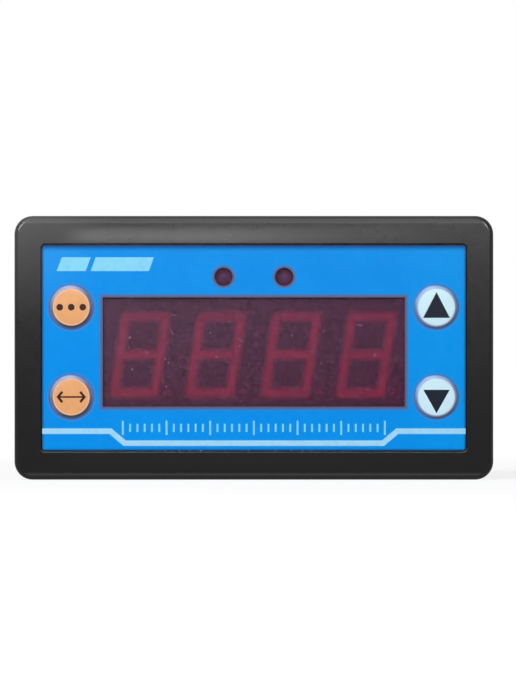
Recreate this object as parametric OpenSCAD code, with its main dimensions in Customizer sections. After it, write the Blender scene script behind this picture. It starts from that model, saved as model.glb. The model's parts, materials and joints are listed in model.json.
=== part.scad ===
// Digital panel tachometer: a four-digit display, two indicators and four keys in a snap-in case.
// The origin is the centre of the panel's front face, which the bezel seats on.
// +X points right, +Y points into the panel and +Z points up.

/* [Panel cut-out] */
// Width of the panel cut-out
cutout_w = 76; // [70:0.5:90]
// Height of the panel cut-out
cutout_h = 39; // [36:0.5:50]
// Gap between the case and the cut-out
cutout_gap = 0.2; // [0.1:0.05:0.3]

/* [Bezel] */
// Overlap of the bezel past the cut-out at the sides
lip_w = 1.5; // [1:0.1:6]
// Overlap of the bezel past the cut-out at the top and bottom
lip_h = 2.25; // [1.5:0.05:7]
// Width of the bezel's border at the sides
border_w = 4.6; // [4:0.1:5]
// Width of the bezel's border at the top and bottom
border_h = 4.85; // [4.4:0.05:5.4]
// Thickness of the bezel in front of the panel
bezel_t = 3; // [2.6:0.1:4]
// Corner radius of the bezel
bezel_corner_r = 3; // [2:0.25:4]
// Radius of the bezel's front outer edge
bezel_edge_r = 0.8; // [0.3:0.1:0.9]
// Thickness of the face plate behind the film
plate_t = 1.5; // [1.2:0.1:2]
// Wall of the skirt that plugs into the case
skirt_wall = 1.2; // [1:0.1:1.5]
// Depth of the skirt behind the panel face
skirt_d = 4; // [3:0.25:4.5]

/* [Film and window] */
// Corner radius of the film
film_corner_r = 0.5; // [0.3:0.1:2]
// Thickness of the film
film_t = 0.25; // [0.15:0.05:0.4]
// Depth of the film's face below the bezel's face
film_sink = 0.3; // [0.1:0.05:0.5]
// Distance from the film's top edge to the display window
window_top = 8.6; // [8.4:0.1:10]
// Distance from the film's bottom edge to the display window
window_bottom = 7.2; // [6.6:0.1:9]
// Distance from the key holes to the display window
window_side = 1.5; // [1.2:0.1:5]
// Thickness of the tinted filter behind the windows
filter_t = 0.5; // [0.4:0.1:1]
// Diameter of the indicator windows in the film
indicator_window_d = 3; // [2.4:0.1:3.4]

/* [Display] */
// Reach of the display module past the window at the sides
display_rim_w = 0.25; // [0.1:0.05:0.4]
// Reach of the display module past the window at the top and bottom
display_rim_h = 0.5; // [0.2:0.05:0.7]
// Drop of the display module's centre below the window's centre
display_drop = 0.3; // [0:0.05:0.4]
// Depth of the display module
display_d = 8; // [7:0.25:10]
// Height of a digit
digit_h = 14.2; // [12:0.1:16]
// Width of a digit
digit_w = 8.1; // [6.5:0.1:9]
// Shift of the digits to the left in the display module
digit_shift = 0.2; // [0:0.05:0.5]
// Width of a segment
segment_w = 1.45; // [0.9:0.05:1.8]
// Gap between two segments
segment_gap = 0.2; // [0.1:0.05:0.5]
// Bevel on a digit's outer corners
segment_bevel = 0.45; // [0.4:0.05:0.8]
// Slant of the digits in degrees
digit_slant = 8.4; // [0:0.2:10]
// Diameter of a decimal point
point_d = 1.4; // [1:0.1:1.8]
// Distance from a digit's lower right corner to its decimal point
point_x = 1.5; // [1.2:0.1:2]

/* [Indicators] */
// Distance between the two indicators
indicator_pitch = 10; // [8:0.5:14]
// Distance from the film's top edge to the indicators
indicator_top = 5.2; // [4:0.1:5.4]
// Diameter of an indicator's lens
lens_d = 3; // [2.8:0.1:3.2]
// Length of an indicator from its base to its tip
lens_len = 5.3; // [4.5:0.1:6]

/* [Keys] */
// Diameter of a key cap
cap_d = 7; // [6.4:0.1:7.2]
// Diameter of the flat on a key cap
cap_flat_d = 6.1; // [5:0.1:6.2]
// Height of a key cap above the film
cap_proud = 0.45; // [0.3:0.05:0.8]
// Gap round a key cap
cap_gap = 0.2; // [0.15:0.05:0.3]
// Thickness of the flange that holds a key cap in
cap_flange_t = 0.8; // [0.6:0.1:1.2]
// Diameter of the stem under a key cap
cap_stem_d = 3.5; // [2.5:0.1:4]
// Distance from the film's side edge to the keys
key_edge = 4.8; // [4.5:0.1:6]
// Distance between the two keys of a pair
key_pitch = 14.8; // [13:0.2:16]
// Travel of a key
key_travel = 0.25; // [0.15:0.05:0.3]
// Side of a key switch
switch_w = 6; // [5.6:0.1:6.4]
// Height of a key switch without its plunger
switch_body_h = 3.5; // [3.2:0.1:4]
// Height of a key switch with its plunger
switch_h = 5; // [4.5:0.1:6]
// Diameter of a switch plunger
plunger_d = 3.5; // [3:0.1:3.6]

/* [Circuit board] */
// Thickness of the circuit board
board_t = 1.6; // [1:0.1:2]
// Gap between the board's edge and the skirt
board_gap = 0.5; // [0.3:0.1:1]
// Diameter of a screw boss
boss_d = 4.5; // [4:0.1:4.8]
// Core diameter of a board screw
screw_d = 1.6; // [1.2:0.1:2]
// Length of a board screw under its head
screw_len = 6; // [4:0.5:7]
// Head diameter of a board screw
screw_head_d = 3.8; // [3.2:0.1:4]
// Head height of a board screw
screw_head_h = 1.4; // [1:0.1:2]

/* [Terminals] */
// Number of wire terminals
terminal_ways = 5; // [2:1:6]
// Distance between two terminals
terminal_pitch = 5.08; // [5:0.02:5.5]
// Height of the terminal block behind the board
terminal_h = 14; // [13:0.5:18]
// Depth of the terminal block
terminal_d = 8; // [7.6:0.1:8.4]
// Width of a wire entry
entry_w = 3.9; // [3.4:0.1:4]
// Height of a wire entry
entry_h = 4.2; // [4:0.1:5]
// Head diameter of a terminal screw
terminal_screw_d = 3.8; // [3.2:0.1:4]

/* [Rear case] */
// Wall of the case
case_wall = 1.5; // [1.2:0.1:1.8]
// Thickness of the case's back
case_back_t = 1.6; // [1.2:0.1:2.5]
// Corner radius of the case
case_corner_r = 2; // [1.6:0.1:3]
// Radius of the case's rear edge
case_edge_r = 0.7; // [0.3:0.1:0.8]
// Width of a spring arm
arm_w = 10; // [7:0.5:14]
// Thickness of a spring arm
arm_t = 1.2; // [0.9:0.1:1.5]
// Reach of a spring arm past the side of the case
arm_flare = 1.4; // [0.8:0.1:1.4]
// Number of teeth on a spring arm
arm_teeth = 5; // [3:1:6]
// Slit beside a spring arm
arm_slit = 0.8; // [0.5:0.1:1.5]
// Width of a snap hook
hook_w = 6; // [4:0.5:8]
// Reach of a snap hook's barb
hook_barb = 0.8; // [0.5:0.1:1]
// Number of vent slots in the top and the back
vents = 7; // [3:1:9]
// Width of a vent slot
vent_w = 1.5; // [1:0.1:2]

/* [Hidden] */
$fn = 48;

// Small overlap that joins two volumes, and the overshoot of a cut
join = 0.2;
cut = 1;

// Clearances
film_gap = 0.2;
filter_gap = 0.1;
filter_ledge = 0.5;
filter_margin = 1.2;
display_air = 0.1;
display_gap = 0.3;
lens_gap = 0.1;
skirt_gap = 0.1;
pin_gap = 0.15;
snap_gap = 0.1;
board_grip = 0.1;
terminal_gap = 0.3;
plunger_gap = 0.15;
screw_gap = 0.05;

// Bezel and film outlines
bezel_w = cutout_w + 2 * lip_w;
bezel_h = cutout_h + 2 * lip_h;
film_w = bezel_w - 2 * border_w;
film_h = bezel_h - 2 * border_h;

// Places on the film
key_hole_d = cap_d + 2 * cap_gap;
key_x = film_w / 2 - key_edge;
window_w = 2 * key_x - key_hole_d - 2 * window_side;
window_h = film_h - window_top - window_bottom;
window_z = (window_bottom - window_top) / 2;
indicator_z = film_h / 2 - indicator_top;
indicator_xs = [-indicator_pitch / 2, indicator_pitch / 2];
key_high = window_z + key_pitch / 2;
key_low = window_z - key_pitch / 2;
menu_at = [-key_x, key_high];
shift_at = [-key_x, key_low];
up_at = [key_x, key_high];
down_at = [key_x, key_low];
keys = [menu_at, shift_at, up_at, down_at];

// Display module and its four digits
display_w = window_w + 2 * display_rim_w;
display_h = window_h + 2 * display_rim_h;
display_z = window_z - display_drop;
digits = 4;
digit_pitch = window_w / digits;
point_rise = 0.2;

// Depths along +Y
film_front = film_sink - bezel_t;
plate_front = film_front + film_t;
plate_rear = plate_front + plate_t;
filter_rear = plate_front + filter_t;
display_front = filter_rear + display_air;
board_front = display_front + display_d;
board_rear = board_front + board_t;
terminal_sink = 0.25;
case_d = board_rear + terminal_h + terminal_sink;

// Case, skirt and board outlines
case_w = cutout_w - 2 * cutout_gap;
case_h = cutout_h - 2 * cutout_gap;
case_x = case_w / 2;
cavity_w = case_w - 2 * case_wall;
cavity_h = case_h - 2 * case_wall;
skirt_w = cavity_w - 2 * skirt_gap;
skirt_h = cavity_h - 2 * skirt_gap;
skirt_in_w = skirt_w - 2 * skirt_wall;
skirt_in_h = skirt_h - 2 * skirt_wall;
inner_corner_r = 0.5;
board_w = skirt_in_w - 2 * board_gap;
board_h = skirt_in_h - 2 * board_gap;
board_corner_r = 1;

// Snap hooks between the bezel and the case
hook_x = 22;
hook_root = 1;
hook_neck = 1;
hook_barb_len = 2;
hook_crest = 0.4;
hook_catch_y = skirt_d + hook_neck;
hook_end_y = hook_catch_y + hook_barb_len;
hook_window_gap = 0.5;

// Spring arms in the sides of the case
arm_rim = 0.8;
arm_tip_y = 2 * arm_rim;
tooth_pitch = 0.9;
tooth_step = arm_flare / arm_teeth;
tooth_top_y = arm_tip_y + arm_teeth * tooth_pitch;
arm_root_gap = 1.5;
arm_root_y = case_d - case_back_t - arm_root_gap;
arm_blend = 1;

// Vent slots
vent_pitch = 5;
vent_top_len = 8;
vent_back_len = 9;
vent_back_z = 7.5;

// Ribs in the case that hold the board on its bosses
rib_t = 1.2;
rib_from_key = 2.9;
rib_on_board = 0.5;
rib_x = key_x - rib_from_key;
rib_reach = (cavity_h - board_h) / 2 + rib_on_board;

// Openings of the face plate
display_hole_w = display_w + 2 * display_gap;
display_hole_h = display_h + 2 * display_gap;
lens_hole_d = lens_d + 2 * lens_gap;
filter_w = display_hole_w + 2 * filter_ledge;
filter_low = display_z - display_hole_h / 2 - filter_ledge;
filter_high = indicator_z + lens_hole_d / 2 + filter_margin;
filter_corner_r = 0.8;

// Inside of the display module
display_wall = 0.6;
display_recess = 2.6;
base_inset = display_wall + 0.1;
base_t = 1.2;
base_front = board_front - display_recess;
pin_reach = 1.2;
display_pin_d = 0.5;
display_pin_pitch = 2.54;
display_pin_inset = 1.88;
display_pin_rows = display_h - 2 * display_pin_inset;
display_pins_per_row = 6;

// Indicators
lens_base_d = 3.8;
lens_base_t = 1;
lens_air = 0.05;
lens_tip_y = filter_rear + lens_air;
lens_base_y = lens_tip_y + lens_len;
lead_w = 0.5;
lead_pitch = 2.54;

// Keys
cap_flange_reach = 0.6;
cap_flange_d = key_hole_d + 2 * cap_flange_reach;
cap_lug_w = 1.2;
cap_lug = 0.9;
guide_t = 0.7;
guide_len = 1.4;
guide_rise = 0.5;
guide_h = cap_flange_t + guide_rise;
cap_round = 0.12;

// Key switches, as heights above the board
cover_t = 0.3;
cover_tab_t = 0.25;
cover_tab_w = 3;
cover_tab_len = 2;
cover_rear_h = switch_body_h - cover_t;
cover_hole_d = plunger_d + 2 * plunger_gap;
collar_reach = 0.2;
collar_d = cover_hole_d + 2 * collar_reach;
collar_t = 0.5;
foot_d = 2.2;
pocket_gap = 0.25;
pocket_d = collar_d + 2 * pocket_gap;
pocket_floor_h = 1.1;
foot_end_h = 1.65;
dome_gap = 0.1;
dome_d = pocket_d - 2 * dome_gap;
dome_t = 0.1;
dome_air = 0.03;
dome_top_h = foot_end_h - key_travel - dome_air;
leg_t = 0.3;
leg_w = 0.7;
leg_pitch = 4.5;
leg_x = switch_w / 2 + leg_t / 2;

// Board screws
boss_inset = 2.5;
boss_from_key = 5.6;
boss_z = board_h / 2 - boss_inset;
boss_x = key_x - boss_from_key;
bosses = [for (x = [-boss_x, boss_x], z = [-boss_z, boss_z]) [x, z]];
boss_rib_t = 1;
pilot_d = screw_d + 2 * screw_gap;
pilot_spare = 0.5;
pilot_end_y = board_rear - screw_len - pilot_spare;
screw_hole_gap = 0.35;
screw_hole_d = screw_d + 2 * screw_hole_gap;
screw_head_bevel = 0.4;
cross_len = 2.28;
cross_w = 0.5;
cross_d = 0.7;

// Terminal block
terminal_side = 0.3;
terminal_w = terminal_ways * terminal_pitch + 2 * terminal_side;
terminal_rise = 0.6;
terminal_low = -cavity_h / 2 + terminal_rise;
terminal_high = terminal_low + terminal_d;
terminal_shift = 0.2;
terminal_z = terminal_low + terminal_d / 2 + terminal_shift;
terminal_xs = [for (i = [0 : terminal_ways - 1]) (i - (terminal_ways - 1) / 2) * terminal_pitch];
entry_floor = 2.7;
entry_floor_y = board_rear + entry_floor;
entry_top_y = entry_floor_y + entry_h;
entry_back = 1.2;
well_depth = 5;
well_y = board_rear + terminal_h - well_depth;
well_gap = 0.15;
well_d = terminal_screw_d + 2 * well_gap;
neck_d = 2.9;
terminal_shank_d = 2.4;
terminal_head_h = 1.8;
slot_w = 0.7;
slot_d = 0.8;
clamp_gap = 0.05;
clamp_wall = 0.6;
clamp_len = 4;
clamp_head = 0.8;
terminal_pin_w = 1;
terminal_pin_t = 0.8;
bevel_run = 1.6;
bevel_rise = 2.5;

// Sizes of the parts behind the board, as [width, height, thickness]
wide_chip = [12.8, 7.5, 2.3];
wide_chip_leads = 10;
small_chip = [4.9, 3.9, 1.5];
small_chip_leads = 4;
coupler_chip = [4.4, 4.4, 2];
coupler_leads = 2;
coupler_lead_pitch = 2.54;
chip_lead_pitch = 1.27;
chip_lead_w = 0.42;
chip_lead_t = 0.2;
chip_lead_reach = 1.4;
chip_foot = 0.7;
chip_standoff = 0.1;
regulator_body = [6.5, 3.5, 1.6];
regulator_lead_pitch = 2.3;
regulator_lead_w = 0.75;
regulator_tab_w = 3;
resistor_size = [2, 1.25, 0.5];
resistor_pitch = 2.2;
resistors = 5;
chip_capacitor_size = [1.25, 2, 0.9];
chip_capacitor_pitch = 4.3;
diode_size = [2.6, 4.3, 2.2];
capacitor_d = 5;
capacitor_len = 11;
capacitor_groove = 0.35;
groove_low = 1;
groove_high = 2;
groove_mid = (groove_low + groove_high) / 2;
capacitor_lead_pitch = 2;
round_lead_d = 0.6;
crystal_size = [11.2, 4.6, 3.5];
crystal_rim = 0.4;
crystal_flat = 0.02;
crystal_end_r = (crystal_size.y - crystal_flat) / 2;
crystal_lead_pitch = 4.88;
front_reach = 1;

// Places of the parts behind the board, as [x, z], between the key switches and the screws
parts_gap = 0.8;
driver_rise = 4;
regulator_rise = 3.4;
diode_drop = 4.2;
capacitor_drop = 2.4;
parts_x = key_x - switch_w / 2 - leg_t - parts_gap;
between_screws = boss_x - screw_head_d / 2 - parts_gap;
board_top = board_h / 2 - parts_gap;
microcontroller_at = [0, display_z];
driver_at = [wide_chip.x / 2 - parts_x, display_z + driver_rise];
memory_at = [between_screws - small_chip.x / 2, board_top - small_chip.y / 2 - chip_lead_reach];
crystal_at = [crystal_size.x / 2 - between_screws, board_top - crystal_size.y / 2];
regulator_at = [parts_x - regulator_body.x / 2, display_z + regulator_rise];
diode_at = [parts_x - diode_size.x / 2, display_z - diode_drop];
optocoupler_at = [diode_at.x - diode_size.x / 2 - parts_gap - coupler_chip.x / 2, diode_at.y];
capacitor_ats = [for (x = [-key_x, key_x]) [x, key_low - capacitor_d / 2 - capacitor_drop]];
resistor_x = (driver_at.x + microcontroller_at.x) / 2;
chip_capacitor_x = wide_chip.x / 2 + parts_gap + chip_capacitor_size.x / 2;

// Holes through the board, as [x, z, diameter]
display_pin_ats = [
    for (i = [0 : display_pins_per_row - 1], side = [-1, 1])
        [(i - (display_pins_per_row - 1) / 2) * display_pin_pitch, display_z + side * display_pin_rows / 2]
];
lead_ats = [for (x = indicator_xs, side = [-1, 1]) [x + side * lead_pitch / 2, indicator_z]];
leg_ats = [for (k = keys, sx = [-1, 1], sz = [-1, 1]) [k.x + sx * leg_x, k.y + sz * leg_pitch / 2]];
capacitor_lead_ats = [
    for (at = capacitor_ats, side = [-1, 1]) [at.x + side * capacitor_lead_pitch / 2, at.y]
];
crystal_lead_ats = [for (side = [-1, 1]) [crystal_at.x + side * crystal_lead_pitch / 2, crystal_at.y]];
board_holes = [
    for (at = display_pin_ats) [at.x, at.y, display_pin_d + 2 * pin_gap],
    for (at = lead_ats) [at.x, at.y, lead_w * sqrt(2) + 2 * pin_gap],
    for (at = leg_ats) [at.x, at.y, leg_w + 2 * pin_gap],
    for (x = terminal_xs) [x, terminal_z, terminal_pin_w + 4 * pin_gap],
    for (at = concat(capacitor_lead_ats, crystal_lead_ats)) [at.x, at.y, round_lead_d + 2 * pin_gap],
    for (at = bosses) [at.x, at.y, screw_hole_d],
];

// A rectangle with round corners, centred
module round_rect(w, h, r) {
    square([w - 2 * r, h], center = true);
    square([w, h - 2 * r], center = true);
    for (x = [-1, 1], y = [-1, 1])
        translate([x * (w / 2 - r), y * (h / 2 - r)]) circle(r = r);
}

// An outline in X and Z, from depth y0 to depth y1
module slab(y0, y1) {
    translate([0, y1, 0]) rotate([90, 0, 0]) linear_extrude(y1 - y0) children();
}

// A round bar along Y
module bar(at, y0, y1, d) {
    translate([at.x, y1, at.y]) rotate([90, 0, 0]) cylinder(d = d, h = y1 - y0);
}

// A box between two corners
module block(low, high) {
    translate(low) cube(high - low);
}

// A profile of [radius, height towards the front], turned about a line along Y
module turned(at, y) {
    translate([at.x, y, at.y]) rotate([90, 0, 0]) rotate_extrude() children();
}

// An outline in Y and Z, extruded along X round the middle
module across(x, w) {
    translate([x - w / 2, 0, 0]) rotate([90, 0, 90]) linear_extrude(w) children();
}

// Places its children on the board's rear face, with their Z pointing backwards
module behind_board(at) {
    translate([at.x, board_rear, at.y]) rotate([-90, 0, 0]) children();
}

// Places its children on the board's front face, with their Z pointing forwards
module before_board(at) {
    translate([at.x, board_front, at.y]) rotate([90, 0, 0]) children();
}

// Section of a rim: t thick, r wide, with its outer front edge rounded by e
module rim_section(t, r, e) {
    square([r, t - e]);
    square([r - e, t]);
    translate([r - e, t - e]) circle(r = e);
}

// A plate from y = 0 forwards by t, with corner radius r and its front edge rounded by e
module soft_plate(w, h, t, r, e) {
    x = w / 2 - r;
    z = h / 2 - r;
    slab(-t, 0) square([2 * x, 2 * z], center = true);
    rotate([90, 0, 0]) for (turn = [0, 180]) rotate([0, 0, turn]) {
        translate([x, -z, 0]) rotate([90, 0, 0]) mirror([0, 0, 1]) linear_extrude(2 * z) rim_section(t, r, e);
        translate([-x, z, 0]) rotate([90, 0, 90]) linear_extrude(2 * x) rim_section(t, r, e);
        translate([x, z, 0]) rotate_extrude(angle = 90) rim_section(t, r, e);
        translate([-x, z, 0]) rotate([0, 0, 90]) rotate_extrude(angle = 90) rim_section(t, r, e);
    }
}

// Outline of the four key holes
module key_holes() {
    for (at = keys) translate(at) circle(d = key_hole_d);
}

// Outline of the filter, grown by gap
module filter_outline(gap) {
    translate([0, (filter_low + filter_high) / 2])
        round_rect(filter_w + 2 * gap, filter_high - filter_low + 2 * gap, filter_corner_r + gap);
}

// Moulded bezel: frame, face plate, skirt, snap hooks, screw bosses and key guides
module front_bezel() color("#2f2f31") difference() {
    union() {
        difference() {
            union() {
                soft_plate(bezel_w, bezel_h, bezel_t, bezel_corner_r, bezel_edge_r);
                slab(-join, skirt_d) round_rect(skirt_w, skirt_h, inner_corner_r);
            }
            slab(plate_rear, skirt_d + cut) round_rect(skirt_in_w, skirt_in_h, inner_corner_r);
        }
        for (x = [-hook_x, hook_x], side = [-1, 1]) snap_hook(x, side);
        for (at = bosses) screw_boss(at);
        for (at = keys) key_guide(at);
    }
    slab(-bezel_t - cut, plate_front)
        round_rect(film_w + 2 * film_gap, film_h + 2 * film_gap, film_corner_r + film_gap);
    slab(plate_front - join, filter_rear) filter_outline(filter_gap);
    slab(plate_front - join, plate_rear + join) {
        translate([0, display_z]) square([display_hole_w, display_hole_h], center = true);
        for (x = indicator_xs) translate([x, indicator_z]) circle(d = lens_hole_d);
        key_holes();
    }
    for (at = bosses) bar(at, pilot_end_y, board_front + cut, pilot_d);
    for (side = [-1, 1])
        translate([side * skirt_w / 2, arm_rim + skirt_d / 2, 0])
            cube([3 * skirt_wall, skirt_d, arm_w + 2 * arm_slit], center = true);
}

// Hook on the skirt that snaps into a window of the case; side is 1 at the top
module snap_hook(x, side) {
    low = skirt_in_h / 2;
    high = skirt_h / 2;
    across(x, hook_w) polygon([
        for (p = [
            [skirt_d - hook_root, low], [hook_end_y, low], [hook_end_y, high],
            [hook_catch_y + hook_crest, high + hook_barb], [hook_catch_y, high + hook_barb],
            [hook_catch_y, high], [skirt_d - hook_root, high],
        ]) [p.x, side * p.y]
    ]);
}

// Boss for a board screw, with a rib to the skirt
module screw_boss(at) {
    bar(at, plate_rear - join, board_front, boss_d);
    rib_end = sign(at.y) * (skirt_in_h / 2 + join);
    slab(plate_rear - join, skirt_d)
        translate([at.x - boss_rib_t / 2, min(at.y, rib_end)]) square([boss_rib_t, abs(rib_end - at.y)]);
}

// Direction from a key towards the middle of its pair
function inward(at) = at.y > window_z ? -1 : 1;

// Two ribs that keep a key cap's lug from turning
module key_guide(at) {
    start = cap_flange_d / 2 + cap_gap;
    slab(plate_rear - join, plate_rear + guide_h)
        for (side = [-1, 1])
            translate([
                at.x + side * (cap_lug_w / 2 + cap_gap + guide_t / 2),
                at.y + inward(at) * (start + guide_len / 2),
            ]) square([guide_t, guide_len], center = true);
}

// Moulded rear case with spring arms, hook windows, vents and a notch for the terminals
module rear_case() color("#29292b") difference() {
    union() {
        difference() {
            mirror([0, 1, 0]) soft_plate(case_w, case_h, case_d, case_corner_r, case_edge_r);
            slab(-cut, case_d - case_back_t) round_rect(cavity_w, cavity_h, inner_corner_r);
            for (side = [-1, 1]) arm_window(side);
        }
        for (side = [0, 1]) mirror([side, 0, 0]) spring_arm();
        for (x = [-rib_x, rib_x], side = [-1, 1]) board_rib(x, side);
    }
    for (x = [-hook_x, hook_x], side = [-1, 1]) hook_window(x, side);
    terminal_notch();
    for (i = [0 : vents - 1]) vent((i - (vents - 1) / 2) * vent_pitch);
}

// Opening in a side wall round a spring arm
module arm_window(side) {
    translate([side * case_x, (arm_rim + arm_root_y) / 2, 0])
        cube([2 * case_wall + 2 * join, arm_root_y - arm_rim, arm_w + 2 * arm_slit], center = true);
}

// Spring arm of the right side, with stepped teeth that bear on the panel's rear edge
module spring_arm() {
    linear_extrude(arm_w, center = true) polygon([
        [case_x - case_wall, arm_root_y + arm_blend],
        [case_x - case_edge_r, arm_root_y + arm_blend],
        [case_x, arm_root_y],
        for (i = [0 : arm_teeth - 1]) each [
            [case_x + arm_flare - i * tooth_step, tooth_top_y - i * tooth_pitch],
            [case_x + arm_flare - (i + 1) * tooth_step, tooth_top_y - i * tooth_pitch],
        ],
        [case_x, arm_tip_y],
        [case_x - arm_t, arm_tip_y],
        [case_x + arm_flare - arm_t, tooth_top_y],
        [case_x - case_wall, arm_root_y - arm_blend],
    ]);
}

// Rib from the case's inner wall to the rear of the board
module board_rib(x, side) {
    slab(board_rear + board_grip, case_d - case_back_t + join)
        translate([x, side * (cavity_h / 2 + join - (rib_reach + join) / 2)])
            square([rib_t, rib_reach + join], center = true);
}

// Window that a snap hook's barb catches in
module hook_window(x, side) {
    translate([x, (hook_catch_y - snap_gap + hook_end_y + hook_window_gap) / 2, side * case_h / 2])
        cube([
            hook_w + 2 * hook_window_gap,
            hook_end_y + hook_window_gap - hook_catch_y + snap_gap,
            2 * case_wall + 2 * join,
        ], center = true);
}

// Notch in the bottom and the back of the case round the terminal block
module terminal_notch() {
    half = terminal_w / 2 + terminal_gap;
    block([-half, board_rear, -case_h / 2 - cut], [half, case_d + cut, terminal_high + terminal_gap]);
}

// Vent slots at one place, in the top and in the back
module vent(x) {
    top_y = (board_rear + case_d - case_back_t) / 2;
    translate([x, top_y, case_h / 2])
        cube([vent_w, vent_top_len, 2 * case_wall + 2 * join], center = true);
    translate([x, case_d, vent_back_z])
        cube([vent_w, 2 * case_back_t + 2 * join, vent_back_len], center = true);
}

// Printed film on the face, cut out at the windows and the keys
module front_overlay() color("#0f90ea") slab(film_front, plate_front) difference() {
    round_rect(film_w, film_h, film_corner_r);
    translate([0, window_z]) square([window_w, window_h], center = true);
    for (x = indicator_xs) translate([x, indicator_z]) circle(d = indicator_window_d);
    key_holes();
}

// Dark red filter behind the display window and the indicator windows
module window_filter() color("#552030", 0.6) slab(plate_front, filter_rear) filter_outline(0);

// Points of a segment, mirrored by sx and sy and slanted
function segment(points, sx, sy) = [
    for (p = points) [sx * p.x + sy * p.y * tan(digit_slant), sy * p.y]
];

// Outlines of all digits and decimal points; grow widens the points
module digit_outlines(grow) {
    w = digit_w / 2;
    h = digit_h / 2;
    s = segment_w;
    mitre = segment_gap * sqrt(2) / 2;
    flat = segment_gap / 2;
    b = segment_bevel;
    t = (b - mitre) / 2;
    top = [
        [b - w, h], [w - b, h], [w - mitre - t, h - t],
        [w - s - mitre, h - s], [s + mitre - w, h - s], [mitre + t - w, h - t],
    ];
    right = [
        [w - t, h - mitre - t], [w, h - b], [w, flat], [w - s / 2 - flat, flat],
        [w - s, s / 2], [w - s, h - s - mitre],
    ];
    middle = [
        for (p = [[w - s / 2 - mitre, 0], [w - s - mitre, s / 2]]) [-p.x, p.y],
        [w - s - mitre, s / 2], [w - s / 2 - mitre, 0], [w - s - mitre, -s / 2], [s + mitre - w, -s / 2],
    ];
    for (i = [0 : digits - 1]) translate([(i - (digits - 1) / 2) * digit_pitch - digit_shift, display_z]) {
        polygon(segment(middle, 1, 1));
        for (sy = [-1, 1]) {
            polygon(segment(top, 1, sy));
            for (sx = [-1, 1]) polygon(segment(right, sx, sy));
        }
        translate([w - h * tan(digit_slant) + point_x, point_d / 2 + point_rise - h])
            circle(d = point_d + 2 * grow);
    }
}

// Housing of the display, with a slot for each segment and a recess behind for its base
module display_body() color("#2a1c22") difference() {
    slab(display_front, board_front) translate([0, display_z]) square([display_w, display_h], center = true);
    slab(base_front, board_front + cut) translate([0, display_z])
        square([display_w - 2 * display_wall, display_h - 2 * display_wall], center = true);
    slab(display_front - cut, base_front + join) digit_outlines(screw_gap);
}

// Diffusing fill of the segments and decimal points
module display_segments() color("#7c3349") slab(display_front, base_front) digit_outlines(0);

// Small board that carries the display's light sources
module display_base() color("#3f5f38") slab(base_front, base_front + base_t) translate([0, display_z])
    square([display_w - 2 * base_inset, display_h - 2 * base_inset], center = true);

// Pins of the display, through the circuit board
module display_pins() color("#c8c8c8")
    for (at = display_pin_ats) bar(at, base_front + base_t, board_rear + pin_reach, display_pin_d);

// Round indicator light with a domed tip
module indicator(x) color("#b8303c") turned([x, indicator_z], lens_base_y) polygon([
    [0, 0], [lens_base_d / 2, 0], [lens_base_d / 2, lens_base_t], [lens_d / 2, lens_base_t],
    for (a = [0 : 10 : 90]) [lens_d / 2 * cos(a), lens_len - lens_d / 2 + lens_d / 2 * sin(a)],
]);

// Wire leads of the indicators, through the circuit board
module indicator_leads() color("#c8c8c8") slab(lens_base_y, board_rear + pin_reach)
    for (at = lead_ats) translate(at) square(lead_w, center = true);

// Key cap with a bevelled edge, a flange that holds it in, a lug and a stem
module key_cap(at, tint) color(tint) {
    top_y = film_front - cap_proud;
    flange_rear = plate_rear + cap_flange_t;
    stem_end = board_front - switch_h;
    reach = stem_end - top_y;
    turned(at, stem_end) polygon([
        [0, 0],
        [cap_stem_d / 2, 0],
        [cap_stem_d / 2, stem_end - flange_rear],
        [cap_flange_d / 2, stem_end - flange_rear],
        [cap_flange_d / 2, stem_end - plate_rear],
        [cap_d / 2, stem_end - plate_rear],
        [cap_d / 2, reach - cap_proud],
        [cap_flat_d / 2 + cap_round, reach - cap_round],
        [cap_flat_d / 2 - cap_round, reach],
        [0, reach],
    ]);
    lug_z = at.y + inward(at) * (cap_flange_d / 2 + cap_lug / 2 - join / 2);
    slab(plate_rear, flange_rear) translate([at.x, lug_z]) square([cap_lug_w, cap_lug + join], center = true);
}

// Plunger of a key switch, with the collar that holds it under the cover
module plunger(at) color("#1c1c1e") turned(at, board_front) polygon([
    [0, foot_end_h],
    [foot_d / 2, foot_end_h],
    [foot_d / 2, cover_rear_h - collar_t],
    [collar_d / 2, cover_rear_h - collar_t],
    [collar_d / 2, cover_rear_h],
    [plunger_d / 2, cover_rear_h],
    [plunger_d / 2, switch_h],
    [0, switch_h],
]);

// Plastic bases of the key switches
module switch_bases() color("#232326") for (at = keys) before_board(at) difference() {
    linear_extrude(cover_rear_h) square(switch_w, center = true);
    translate([0, 0, pocket_floor_h]) cylinder(d = pocket_d, h = cover_rear_h);
}

// Folded metal covers of the key switches
module switch_covers() color("#b9bcc0") for (at = keys) before_board(at) {
    translate([0, 0, cover_rear_h]) linear_extrude(cover_t) difference() {
        square([switch_w, switch_w + 2 * cover_tab_t], center = true);
        circle(d = cover_hole_d);
    }
    for (side = [-1, 1])
        translate([0, side * (switch_w + cover_tab_t) / 2, cover_rear_h - cover_tab_len / 2 + join / 2])
            cube([cover_tab_w, cover_tab_t, cover_tab_len + join], center = true);
}

// Height of a snap dome's underside above the board, at a share of its radius
function dome_height(share) = pocket_floor_h + (dome_top_h - dome_t - pocket_floor_h) * (1 - share * share);

// Snap domes of the key switches, at their pressed height
module switch_domes() color("#d0d2d4") {
    shares = [for (i = [0 : 6]) i / 6];
    for (at = keys) turned(at, board_front) polygon([
        for (i = [0 : 6]) [shares[i] * dome_d / 2, dome_height(shares[i])],
        for (i = [6 : -1 : 0]) [shares[i] * dome_d / 2, dome_height(shares[i]) + dome_t],
    ]);
}

// Legs of the key switches, through the circuit board
module switch_terminals() color("#c8c8c8") slab(board_front - pocket_floor_h, board_rear + front_reach)
    for (at = leg_ats) translate(at) square([leg_t, leg_w], center = true);

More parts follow.
